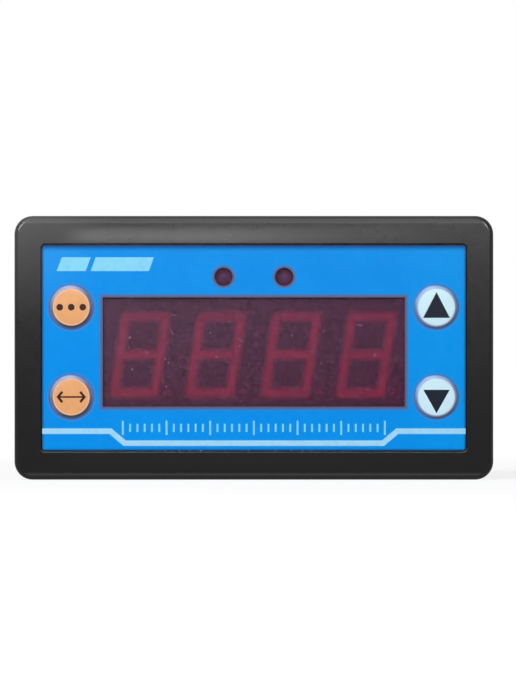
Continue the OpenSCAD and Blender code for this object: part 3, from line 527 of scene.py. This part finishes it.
NUMBER_INK = ink("number_ink", srgb(206, 212, 204))
SOLDER = metal("solder", srgb(178, 180, 184), 0.2, 0.34)
LINT = ink("lint", srgb(150, 118, 152))

for node_name, node_object in nodes.items():
    node_object.data.materials.clear()
    node_object.data.materials.append(FINISHES[SLOT_OF[node_name]].material)


# Meshes

# Points that lie closer than this are one point: in metres on a CAD node, in millimetres on an own mesh
MERGE_CAD = 2e-6
MERGE_OWN = 1e-4


def placed(name, data):
    """A new object at the origin that holds a mesh, a lamp or a camera."""
    made = bpy.data.objects.new(name, data)
    bpy.context.collection.objects.link(made)
    return made


def mesh_from(work, name):
    """A mesh from a bmesh, which is then given up."""
    mesh = bpy.data.meshes.new(name)
    work.to_mesh(mesh)
    work.free()
    return mesh


def dress(piece, finish, slot, body="housing", replaced=()):
    """Gives a piece its finish, hangs it on its body's empty and hides the nodes that it replaces."""
    piece.data.materials.clear()
    piece.data.materials.append(finish.material)
    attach(piece, body)
    if replaced:
        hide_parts(*replaced)
    return piece


def solid(name, mesh_maker, finish, slot, body="housing", replaced=()):
    """A piece whose mesh a function makes in millimetres."""
    work = bmesh.new()
    mesh_maker(work)
    bmesh.ops.remove_doubles(work, verts=work.verts, dist=MERGE_OWN)
    bmesh.ops.recalc_face_normals(work, faces=work.faces)
    bmesh.ops.scale(work, vec=(MM, MM, MM), verts=work.verts)
    return dress(placed(name, mesh_from(work, name)), finish, slot, body, replaced)


def smooth(piece, angle):
    """Smooth shading, with creases kept above angle."""
    piece.data.shade_smooth()
    piece.data.set_sharp_from_angle(angle=math.radians(angle))
    return piece


def applied(piece):
    """Turns the piece's modifiers into plain mesh."""
    graph = bpy.context.evaluated_depsgraph_get()
    mesh = bpy.data.meshes.new_from_object(piece.evaluated_get(graph), depsgraph=graph)
    mesh.name = piece.name
    piece.modifiers.clear()
    piece.data = mesh
    return piece


def circle_points(center, radius, count):
    """Outline of a circle."""
    turns = [math.tau * i / count for i in range(count)]
    return [(center[0] + radius * math.cos(turn), center[1] + radius * math.sin(turn)) for turn in turns]


def rounded_box(center, width, height, radius, count=8):
    """Outline of a rectangle with round corners, count steps a corner."""
    points = []
    for corner, (sx, sz) in enumerate(((1, 1), (-1, 1), (-1, -1), (1, -1))):
        for step in range(count + 1):
            turn = math.pi / 2 * (corner + step / count)
            points.append((
                center[0] + sx * (width / 2 - radius) + radius * math.cos(turn),
                center[1] + sz * (height / 2 - radius) + radius * math.sin(turn),
            ))
    return points


def band(path, width):
    """Outline of a band along a path, mitred at its corners."""
    left, right = [], []
    for i, point in enumerate(path):
        here = Vector(point)
        coming = (here - Vector(path[i - 1])).normalized() if i else None
        going = (Vector(path[i + 1]) - here).normalized() if i < len(path) - 1 else coming
        coming = coming or going
        along = (coming + going).normalized()
        across = Vector((-along.y, along.x))
        reach = width / 2 / max(0.2, across.dot(Vector((-going.y, going.x))))
        left.append(tuple(here + across * reach))
        right.append(tuple(here - across * reach))
    return left + right[::-1]


def close_loops(work, loops, caps=True):
    """Bridges loops of equal length in turn, and closes both ends."""
    for low, high in zip(loops, loops[1:]):
        for i in range(len(low)):
            j = (i + 1) % len(low)
            work.faces.new((low[i], low[j], high[j], high[i]))
    if caps:
        work.faces.new(loops[0][::-1])
        work.faces.new(loops[-1])


def plate(work, outline, front, rear):
    """A flat plate between two depths."""
    loops = [[work.verts.new((x, depth, z)) for x, z in outline] for depth in (rear, front)]
    close_loops(work, loops)


def ring_plate(work, outer, inner, front, rear):
    """A flat ring between two outlines of equal length."""
    loops = [
        [work.verts.new((x, depth, z)) for x, z in outline]
        for outline, depth in ((outer, rear), (outer, front), (inner, front), (inner, rear))
    ]
    close_loops(work, loops + [loops[0]], caps=False)


def strip_plate(work, path, width, front, rear):
    """A flat strip along a path, in one four-sided face for each stretch."""
    outline = band(path, width)
    front_loop, rear_loop = ([work.verts.new((x, depth, z)) for x, z in outline] for depth in (front, rear))
    count = len(outline)
    for i in range(len(path) - 1):
        stretch = (i, i + 1, count - 2 - i, count - 1 - i)
        work.faces.new([front_loop[k] for k in stretch])
        work.faces.new([rear_loop[k] for k in reversed(stretch)])
    close_loops(work, [rear_loop, front_loop], caps=False)


def lathe(work, center, profile, count=96):
    """Turns a profile of [radius, depth] round a line along Y. Radius 0 at both ends closes it."""
    rings = []
    for radius, depth in profile:
        if radius == 0:
            rings.append([work.verts.new((center[0], depth, center[1]))])
        else:
            rings.append([work.verts.new((x, depth, z)) for x, z in circle_points(center, radius, count)])
    for low, high in zip(rings, rings[1:]):
        for i in range(count):
            j = (i + 1) % count
            if len(low) == 1:
                work.faces.new((low[0], high[j], high[i]))
            elif len(high) == 1:
                work.faces.new((low[i], low[j], high[0]))
            else:
                work.faces.new((low[i], low[j], high[j], high[i]))


def fillet(corner, before, after, radius, steps=4):
    """Points that round a profile's corner."""
    corner, before, after = Vector(corner), Vector(before), Vector(after)
    start = corner + (before - corner).normalized() * radius
    end = corner + (after - corner).normalized() * radius
    shares = [i / steps for i in range(steps + 1)]
    return [tuple(start.lerp(corner, t).lerp(corner.lerp(end, t), t)) for t in shares]


def rounded_profile(points, radii):
    """A profile with some of its corners rounded, by their index."""
    result = []
    for i, point in enumerate(points):
        if i in radii:
            result += fillet(point, points[i - 1], points[i + 1], radii[i])
        else:
            result.append(tuple(point))
    return result


def speck(work, place, radius, stretch):
    """A grain of dust, flattened or drawn out by stretch."""
    made = bmesh.ops.create_icosphere(work, subdivisions=1, radius=radius)["verts"]
    bmesh.ops.scale(work, vec=stretch, verts=made)
    bmesh.ops.translate(work, vec=place, verts=made)


# Geometry nodes

def new_tree(name, inputs):
    """A geometry-nodes tree with named inputs, and the sockets that hand them out."""
    tree = bpy.data.node_groups.new(name, "GeometryNodeTree")
    tree.interface.new_socket("Geometry", in_out="OUTPUT", socket_type="NodeSocketGeometry")
    for label, kind in inputs:
        tree.interface.new_socket(label, in_out="INPUT", socket_type="NodeSocket" + kind)
    return tree, add_node(tree, "NodeGroupInput").outputs


def end_tree(tree, instances, material):
    """Makes the instances real, paints them and hands them out."""
    real = add_node(tree, "GeometryNodeRealizeInstances", {0: instances}).outputs[0]
    painted = add_node(tree, "GeometryNodeSetMaterial", {"Geometry": real, "Material": material}).outputs[0]
    add_node(tree, "NodeGroupOutput", {0: painted})
    return tree


def scale_tree():
    """A row of ticks, with a taller one every few."""
    tree, given = new_tree("scale_of_ticks", (
        ("Ticks", "Int"), ("Pitch", "Float"), ("Width", "Float"), ("Short", "Float"),
        ("Tall", "Float"), ("Depth", "Float"), ("Tall Every", "Int"), ("Ink", "Material"),
    ))
    step = add_node(tree, "ShaderNodeCombineXYZ", {"X": given["Pitch"]}).outputs[0]
    line = add_node(tree, "GeometryNodeMeshLine", {"Count": given["Ticks"], "Offset": step}).outputs["Mesh"]
    index = add_node(tree, "GeometryNodeInputIndex").outputs[0]
    is_tall = calculate(tree, "LESS_THAN", calculate(tree, "MODULO", index, given["Tall Every"]), 0.5)
    height = add_node(
        tree, "ShaderNodeMix", {"Factor": is_tall, "A": given["Short"], "B": given["Tall"]},
    ).outputs["Result"]
    size = add_node(
        tree, "ShaderNodeCombineXYZ", {"X": given["Width"], "Y": given["Depth"], "Z": height},
    ).outputs[0]
    tick = add_node(tree, "GeometryNodeMeshCube").outputs["Mesh"]
    row = add_node(tree, "GeometryNodeInstanceOnPoints", {"Points": line, "Instance": tick, "Scale": size})
    return end_tree(tree, row.outputs[0], given["Ink"])


def solder_tree():
    """A hollow-sided cone of solder on every point, leaned by Turn."""
    tree, given = new_tree("solder_joints", (
        ("Places", "Geometry"), ("Sides", "Int"), ("Foot", "Float"), ("Tip", "Float"),
        ("Height", "Float"), ("Sag", "Float"), ("Turn", "Float"), ("Solder", "Material"),
    ))
    cone = add_node(tree, "GeometryNodeMeshCone", {
        "Side Segments": 4, "Vertices": given["Sides"], "Radius Top": given["Tip"],
        "Radius Bottom": given["Foot"], "Depth": given["Height"],
    }).outputs["Mesh"]
    position = add_node(tree, "GeometryNodeInputPosition").outputs[0]
    place = add_node(tree, "ShaderNodeSeparateXYZ", {0: position}).outputs
    risen = calculate(tree, "DIVIDE", place["Z"], given["Height"])
    arch = calculate(tree, "SINE", calculate(tree, "MULTIPLY", risen, math.pi))
    left_over = calculate(tree, "SUBTRACT", 1.0, calculate(tree, "MULTIPLY", given["Sag"], arch))
    drawn_in = add_node(tree, "ShaderNodeCombineXYZ", {
        "X": calculate(tree, "MULTIPLY", place["X"], left_over),
        "Y": calculate(tree, "MULTIPLY", place["Y"], left_over),
        "Z": place["Z"],
    }).outputs[0]
    joint = add_node(tree, "GeometryNodeSetPosition", {"Geometry": cone, "Position": drawn_in}).outputs[0]
    turn = add_node(tree, "ShaderNodeCombineXYZ", {"X": given["Turn"]}).outputs[0]
    spread = add_node(tree, "GeometryNodeInstanceOnPoints", {
        "Points": given["Places"], "Instance": joint, "Rotation": turn,
    })
    return end_tree(tree, spread.outputs[0], given["Solder"])


def grown(name, tree, values, place=(0, 0, 0), points=()):
    """A piece whose plain mesh a geometry-nodes tree makes on some points, moved by place in millimetres."""
    mesh = bpy.data.meshes.new(name)
    mesh.from_pydata(points, [], [])
    piece = placed(name, mesh)
    modifier = piece.modifiers.new("grown", "NODES")
    modifier.node_group = tree
    for item in tree.interface.items_tree:
        if item.item_type == "SOCKET" and item.in_out == "INPUT" and item.name in values:
            modifier[item.identifier] = values[item.name]
    applied(piece)
    piece.data.transform(Matrix.Translation(Vector(place) * MM))
    return piece


# Camera, lamps, floor and background, in metres and watts, and the camera's sensor in millimetres

PHOTO_W_PIXELS = 516
PIXELS_PER_MM = 6.067
SENSOR_W = 36
CAMERA_Y = -0.9
AIM_X = 0.68 * MM
AIM_Z = 0.63 * MM
AMBIENT = 0.15


def make_camera():
    """A long lens straight in front, which frames the bezel's front face as the photograph does."""
    bezel_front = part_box("front_bezel")[0][1]
    lens = bpy.data.cameras.new("camera")
    lens.sensor_fit = "HORIZONTAL"
    lens.sensor_width = SENSOR_W
    lens.lens = SENSOR_W * (bezel_front - CAMERA_Y) / (PHOTO_W_PIXELS / PIXELS_PER_MM * MM)
    lens.clip_start = 0.01
    camera = placed("camera", lens)
    camera.location = (AIM_X, CAMERA_Y, AIM_Z)
    camera.rotation_euler = (math.pi / 2, 0, 0)
    bpy.context.scene.camera = camera


def lamp(name, place, aim, width, height, watts):
    """A rectangular area lamp that faces aim."""
    light = bpy.data.lights.new(name, "AREA")
    light.shape = "RECTANGLE"
    light.size = width
    light.size_y = height
    light.energy = watts
    holder = placed(name, light)
    holder.location = place
    holder.rotation_euler = (Vector(aim) - Vector(place)).to_track_quat("-Z", "Y").to_euler()
    return holder


def gloss_only(light):
    """Leaves a lamp's sheen and takes its diffuse light and its own picture away."""
    light.visible_camera = False
    light.visible_diffuse = False


def make_lamps():
    """A softbox from the upper left, and two strips that only draw sheen on the bezel's bars."""
    lamp("main_softbox", (-0.24, -0.62, 0.62), (0, 0, 0), 0.36, 0.26, watts=6.6)
    gloss_only(lamp("near_strip", (-0.012, -0.15, 0.056), (-0.004, 0, 0.01), 0.24, 0.016, watts=0.66))
    gloss_only(lamp("top_strip", (-0.05, -0.02, 0.26), (0, 0, 0), 0.24, 0.1, watts=0.28))


def seen_directly(tree):
    """1 for camera, glossy and transmission rays."""
    rays = add_node(tree, "ShaderNodeLightPath").outputs
    camera_or_glossy = calculate(tree, "MAXIMUM", rays["Is Camera Ray"], rays["Is Glossy Ray"])
    return calculate(tree, "MAXIMUM", camera_or_glossy, rays["Is Transmission Ray"])


def make_world():
    """White where it is seen, and a dim light elsewhere."""
    world = bpy.data.worlds.new("studio")
    world.use_nodes = True
    bpy.context.scene.world = world
    tree = world.node_tree
    strength = add_node(
        tree, "ShaderNodeMapRange", {"Value": seen_directly(tree), "To Min": AMBIENT, "To Max": 1.0},
    ).outputs["Result"]
    background = tree.nodes["Background"]
    feed(tree, background.inputs["Color"], (1, 1, 1, 1))
    feed(tree, background.inputs["Strength"], strength)


def sheet(name, half, color, roughness):
    """A square sheet in a plain colour, and its material's tree. half is half of its side."""
    work = bmesh.new()
    bmesh.ops.create_grid(work, x_segments=1, y_segments=1, size=half)
    made = placed(name, mesh_from(work, name))
    material = bpy.data.materials.new(name)
    material.use_nodes = True
    tree = material.node_tree
    shader = tree.nodes["Principled BSDF"]
    feed(tree, shader.inputs["Base Color"], color)
    feed(tree, shader.inputs["Roughness"], roughness)
    made.data.materials.append(material)
    return made, tree


def make_floor(height):
    """A white floor that glows where it is seen, less so near the object, where it keeps the shadow."""
    floor, tree = sheet("floor", 3.0, (0.86, 0.86, 0.87, 1), 0.9)
    floor.location = (0, 0, height)
    matte = tree.nodes["Principled BSDF"].outputs[0]
    glow = add_node(tree, "ShaderNodeEmission", {"Strength": 1.04}).outputs[0]
    place = add_node(tree, "ShaderNodeTexCoord").outputs["Object"]
    away = add_node(tree, "ShaderNodeVectorMath", {0: place}, operation="LENGTH").outputs["Value"]
    fade = add_node(
        tree, "ShaderNodeMapRange",
        {"Value": away, "From Min": 0.05, "From Max": 0.3, "To Min": 0.8, "To Max": 1.0},
        interpolation_type="SMOOTHSTEP",
    ).outputs["Result"]
    share = calculate(tree, "MULTIPLY", seen_directly(tree), fade)
    mix = add_node(tree, "ShaderNodeMixShader", {0: share, 1: matte, 2: glow}).outputs[0]
    feed(tree, tree.nodes["Material Output"].inputs["Surface"], mix)


def make_flag():
    """Dark card behind the camera, so that the face doesn't mirror the white surroundings."""
    flag = sheet("flag", 0.8, (0.01, 0.01, 0.01, 1), 1.0)[0]
    flag.location = (0, CAMERA_Y - 0.1, 0.2)
    flag.rotation_euler = (math.pi / 2, 0, 0)
    flag.visible_camera = False
    flag.visible_diffuse = False
    flag.visible_shadow = False


# Keys

# Slot of each key's cap, and the ink of its icon
KEYS = {
    "menu": ("key_orange", BROWN_INK),
    "shift": ("key_orange", BROWN_INK),
    "up": ("key_white", DARK_INK),
    "down": ("key_white", DARK_INK),
}

# The flange that holds a cap behind the face plate, in millimetres
FLANGE_FRONT = -0.95
FLANGE_REAR = -0.15
FLANGE_R = 4.3


def arrow_head(tip, toward):
    """Open arrow head of two barbs."""
    back, notch, half_h, width = tip - toward, tip - toward * 0.3, 0.86, 0.4
    return band([(back, half_h), (notch, 0.0), (back, -half_h)], width)


def box_outline(half_w, half_h):
    """Outline of a rectangle round 0."""
    return [(-half_w, -half_h), (half_w, -half_h), (half_w, half_h), (-half_w, half_h)]


# Outlines on each key's face, in millimetres from its axis
ICONS = {
    "menu": [circle_points((x, 0), 0.55, 40) for x in (-1.9, 0, 1.9)],
    "shift": [box_outline(1.95, 0.13), arrow_head(2.48, 1), arrow_head(-2.48, -1)],
    "up": [[(-2.2, -1.76), (2.2, -1.76), (0, 2.48)]],
    "down": [[(2.17, 1.18), (-2.17, 1.18), (0, -2.68)]],
}


def cap_profile(stem_end):
    """Section of a key cap from the middle of its face to the end of its stem."""
    face, flat, wall, stem = CAP_FRONT + 0.05, CAP_FLAT_D / 2, CAP_D / 2, 1.75
    points = [
        (0, face), (flat - 0.02, face), (flat, CAP_FRONT + 0.03), (wall - 0.02, FILM_FRONT - 0.08),
        (SKIRT_R, FILM_FRONT - 0.01), (SKIRT_R, FILM_FRONT + 0.1), (wall, FILM_FRONT + 0.2),
        (wall, FLANGE_FRONT), (FLANGE_R, FLANGE_FRONT), (FLANGE_R, FLANGE_REAR),
        (stem, FLANGE_REAR), (stem, stem_end), (0, stem_end),
    ]
    return rounded_profile(points, {3: 0.1, 4: 0.05, 8: 0.1, 9: 0.1})


def make_key(key, slot, icon_ink):
    """Bevelled cap with its lug, printed face and icon, all on the key's own body."""
    body, node = "key_" + key, "cap_" + key
    x, z = middle("plunger_" + key)
    low, high = corners(node)
    lug_end = max(low.z - z, high.z - z, key=abs)
    lug_root = math.copysign(4.0, lug_end)
    lug_half_w = 0.6
    face_front = CAP_FRONT + 0.012
    icon_front = CAP_FRONT + 0.002

    def cap(work):
        lathe(work, (x, z), cap_profile(high.y))
        lug = [(-lug_half_w, lug_root), (lug_half_w, lug_root), (lug_half_w, lug_end), (-lug_half_w, lug_end)]
        plate(work, [(x + dx, z + dz) for dx, dz in lug], FLANGE_FRONT, FLANGE_REAR)

    def face(work):
        edge, rear = CAP_FLAT_D / 2 + 0.005, face_front + 0.09
        section = [(0, face_front), (edge, face_front), (edge, rear), (0, rear)]
        lathe(work, (x, z), rounded_profile(section, {1: 0.07}))

    def icon(work):
        for outline in ICONS[key]:
            plate(work, [(x + dx, z + dz) for dx, dz in outline], icon_front, face_front + 0.02)

    smooth(solid("cap_ring_" + key, cap, RING, slot, body, (node,)), 30)
    smooth(solid("key_face_" + key, face, FINISHES[slot], slot, body), 30)
    solid("key_icon_" + key, icon, icon_ink, slot, body)


# Print on the film

def printed(name, mesh_maker, finish):
    """A piece of ink on the film. The maker is told the depths of its front and rear."""
    def at_depths(work):
        mesh_maker(work, FILM_FRONT - INK_PROUD, FILM_FRONT + INK_SUNK)

    solid(name, at_depths, finish, "printed_film")


def make_borders():
    """Slate lines round the window and the indicator openings."""
    def window_border(work, front, rear):
        outer = rounded_box((0, WINDOW_Z), WINDOW_W + 1.0, WINDOW_H + 1.0, 0.35)
        inner = rounded_box((0, WINDOW_Z), WINDOW_W + 0.02, WINDOW_H + 0.02, 0.02)
        ring_plate(work, outer, inner, front, rear)

    def indicator_rims(work, front, rear):
        opening_r = INDICATOR_WINDOW_D / 2
        for node in ("indicator_left", "indicator_right"):
            outer, inner = (circle_points(middle(node), opening_r + past, 72) for past in (0.3, 0.01))
            ring_plate(work, outer, inner, front, rear)

    printed("window_border", window_border, BORDER_INK)
    printed("indicator_rims", indicator_rims, BORDER_INK)


def make_stripe():
    """Pale line across the film, stepped down below the scale."""
    high, low = -13.74, -15.72
    outer_bend, inner_bend, end = 23.65, 21.3, FILM_HIGH.x
    path = [
        (-end, high), (-outer_bend, high), (-inner_bend, low),
        (inner_bend, low), (outer_bend, high), (end, high),
    ]

    def stripe(work, front, rear):
        strip_plate(work, path, 0.92, front, rear)

    printed("print_stripe", stripe, PALE_INK)


def make_bars():
    """Two leaning fields of colour at the upper left."""
    low, high, lean = 12.66, 14.93, 0.42

    def bars(work, front, rear):
        for start, end in ((-32.1, -27.3), (-26.5, -16.9)):
            shape = [(start - lean, low), (end - lean, low), (end + lean, high), (start + lean, high)]
            plate(work, shape, front, rear)

    printed("print_bars", bars, AZURE_INK)


def make_scale():
    """Row of ticks below the window."""
    ticks, pitch, middle_z = 37, 1.2, -13.2
    sizes = {"Pitch": pitch, "Width": 0.3, "Short": 1.35, "Tall": 2.35, "Depth": INK_PROUD + INK_SUNK}
    values = {label: size * MM for label, size in sizes.items()}
    values.update({"Ticks": ticks, "Tall Every": 6, "Ink": AZURE_INK.material})
    place = (-pitch * (ticks - 1) / 2, FILM_FRONT + (INK_SUNK - INK_PROUD) / 2, middle_z)
    dress(grown("print_scale", scale_tree(), values, place), AZURE_INK, "printed_film")


# Dust and lint

def make_lint():
    """Specks and a few fibres on the filter's face."""
    draw = random.Random(11)
    reach_x, reach_z = 24.3, 8.6
    fibre_reach_x, fibre_reach_z = 23, 7.5

    def specks(work):
        for _ in range(70):
            x = draw.uniform(-reach_x, reach_x)
            z = WINDOW_Z + draw.uniform(-reach_z, reach_z)
            radius = 0.05 + 0.09 * draw.random() ** 3
            speck(work, (x, FILTER_FRONT - 0.01, z), radius, (1, 0.25, draw.uniform(0.7, 1.3)))
        for _ in range(5):
            x = draw.uniform(-fibre_reach_x, fibre_reach_x)
            z = WINDOW_Z + draw.uniform(-fibre_reach_z, fibre_reach_z)
            turn, bend, length = draw.uniform(0, math.tau), draw.uniform(-1.2, 1.2), draw.uniform(0.6, 1.4)
            path = []
            for i in range(7):
                t = i / 6 - 0.5
                heading = turn + bend * t
                path.append((x + length * t * math.cos(heading), z + length * t * math.sin(heading)))
            plate(work, band(path, 0.05), FILTER_FRONT - 0.03, FILTER_FRONT + 0.01)

    solid("window_lint", specks, LINT, "red_filter")


def make_rim_dust():
    """Specks caught on the lower edge of the bezel's recess."""
    draw = random.Random(5)

    def specks(work):
        for _ in range(26):
            place = (draw.uniform(-15, 15), FILM_FRONT - 0.12, FILM_LOW.z - draw.uniform(0.02, 0.34))
            speck(work, place, draw.uniform(0.04, 0.09), (draw.uniform(1.0, 2.2), 1, 1))

    solid("rim_dust", specks, LINT, "bezel_plastic")


# Indicators

def make_indicator(side):
    """Domed lens on its flange."""
    node = "indicator_" + side
    low, high = corners(node)
    tip, base, flange_r = low.y, high.y, (high.x - low.x) / 2
    radius, flange_t = 1.5, 1
    turns = [math.radians(angle) for angle in range(0, 91, 6)]
    dome = [(radius * math.sin(turn), tip + radius - radius * math.cos(turn)) for turn in turns]
    flange_front = base - flange_t
    flange = [(radius, flange_front), (flange_r, flange_front), (flange_r, base), (0, base)]

    def lens(work):
        lathe(work, middle(node), dome + flange, count=48)

    smooth(solid("lens_" + side, lens, FINISHES["lens_red"], "lens_red", replaced=(node,)), 35)


# Numbers on the terminal block

def make_pole_numbers():
    """Raised numbers on the rear face of the terminal block, one over each well."""
    poles, pitch = 5, 5.08
    facing_back = Matrix.Rotation(math.pi, 4, "Z") @ Matrix.Rotation(math.pi / 2, 4, "X")
    high = corners("terminal_housing")[1]
    for index in range(poles):
        number = poles - index
        text = bpy.data.curves.new("number", "FONT")
        text.body = str(number)
        text.size = 1.6
        text.align_x = "CENTER"
        text.align_y = "CENTER"
        text.extrude = 0.08
        text.bevel_depth = 0.02
        text.bevel_resolution = 0
        text.resolution_u = 3
        shape = bpy.data.objects.new("number", text)
        mesh = bpy.data.meshes.new_from_object(shape)
        bpy.data.objects.remove(shape)
        place = Vector(((index - (poles - 1) / 2) * pitch, high.y + 0.02, high.z - 0.9))
        mesh.transform(Matrix.Scale(MM, 4) @ Matrix.Translation(place) @ facing_back)
        dress(placed("pole_number_%d" % number, mesh), NUMBER_INK, "terminal_green")


# Solder on the circuit board

def islands(node):
    """The separate solids in a node, each as the places of its vertices."""
    work = bmesh.new()
    work.from_mesh(nodes[node].data)
    bmesh.ops.remove_doubles(work, verts=work.verts, dist=MERGE_CAD)
    seen, found = set(), []
    for first in work.verts:
        if first in seen:
            continue
        seen.add(first)
        waiting, island = [first], []
        while waiting:
            here = waiting.pop()
            island.append(here.co.copy())
            for edge in here.link_edges:
                other = edge.other_vert(here)
                if other not in seen:
                    seen.add(other)
                    waiting.append(other)
        found.append(island)
    work.free()
    return found


def pin_places(pin_nodes, face, outward):
    """Where the pins of some nodes leave the board at the depth face.

    outward is 1 for the board's rear, -1 for its front.
    """
    least_stub = 0.2 * MM
    places = []
    for node in pin_nodes:
        for island in islands(node):
            stub = [place for place in island if (place.y - face) * outward > least_stub]
            if stub:
                across, up = [place.x for place in stub], [place.z for place in stub]
                places.append(((min(across) + max(across)) / 2, face, (min(up) + max(up)) / 2))
    return places


def make_solder():
    """A joint round each pin, on the side of the board where the pin comes through."""
    tree = solder_tree()
    board_front, board_rear = (corner[1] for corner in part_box("circuit_board"))
    for name, pin_nodes, face, outward in (
        ("solder_rear", ("display_pins", "indicator_leads", "switch_terminals"), board_rear, 1),
        ("solder_front", ("terminal_pins", "capacitor_leads", "crystal_leads"), board_front, -1),
    ):
        values = {
            "Sides": 16, "Foot": 0.86 * MM, "Tip": 0.36 * MM, "Height": 0.8 * MM, "Sag": 0.24,
            "Turn": -outward * math.pi / 2, "Solder": SOLDER.material,
        }
        piece = grown(name, tree, values, points=pin_places(pin_nodes, face, outward))
        dress(smooth(piece, 50), SOLDER, "tinned_metal")


# Rounded copies of CAD nodes

def softened(node, name, width, wide=None):
    """A copy of a CAD node with merged points and edges rounded by width, which stands for it.

    wide is a pair: a test that picks edges, and the width of their rounding.
    """
    source = nodes[node]
    work = bmesh.new()
    work.from_mesh(source.data)
    work.transform(source.matrix_world)
    bmesh.ops.remove_doubles(work, verts=work.verts, dist=MERGE_CAD)
    bmesh.ops.dissolve_limit(
        work, angle_limit=math.radians(1.0), verts=work.verts, edges=work.edges, delimit={"NORMAL"},
    )
    bmesh.ops.recalc_face_normals(work, faces=work.faces)
    if wide:
        is_picked, picked_width = wide
        bmesh.ops.bevel(
            work, geom=[edge for edge in work.edges if is_picked(edge)], offset=picked_width * MM,
            segments=3, profile=0.5, affect="EDGES", clamp_overlap=True,
        )
    piece = placed(name, mesh_from(work, name))
    bevel = piece.modifiers.new("edges", "BEVEL")
    bevel.width = width * MM
    bevel.segments = 2
    bevel.limit_method = "ANGLE"
    bevel.angle_limit = math.radians(38)
    bevel.use_clamp_overlap = False
    smooth(applied(piece), 50)
    weigh = piece.modifiers.new("normals", "WEIGHTED_NORMAL")
    weigh.keep_sharp = True
    slot = SLOT_OF[node]
    return dress(applied(piece), FINISHES[slot], slot, replaced=(node,))


def recess_rim_test():
    """A test that picks the edges on the front rim of the bezel's recess."""
    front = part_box("front_bezel")[0][1]
    film_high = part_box("front_overlay")[1]
    reach_x, reach_z = film_high[0] + 0.25 * MM, film_high[2] + 0.25 * MM

    def on_rim(edge):
        ends = [vert.co for vert in edge.verts]
        flat = all(abs(end.y - front) < 0.01 * MM for end in ends)
        return flat and all(abs(end.x) < reach_x and abs(end.z) < reach_z for end in ends)

    return on_rim


bpy.context.scene.view_settings.view_transform = "Standard"
make_camera()
make_world()
make_floor(cad_box[0][2])
make_flag()
make_lamps()

for key, (slot, icon_ink) in KEYS.items():
    make_key(key, slot, icon_ink)
make_borders()
make_stripe()
make_bars()
make_scale()
make_lint()
make_rim_dust()
make_indicator("left")
make_indicator("right")
make_pole_numbers()
make_solder()
softened("front_bezel", "bezel_body", 0.1, wide=(recess_rim_test(), 0.16))
softened("rear_case", "case_body", 0.15)
softened("terminal_housing", "terminal_body", 0.05)
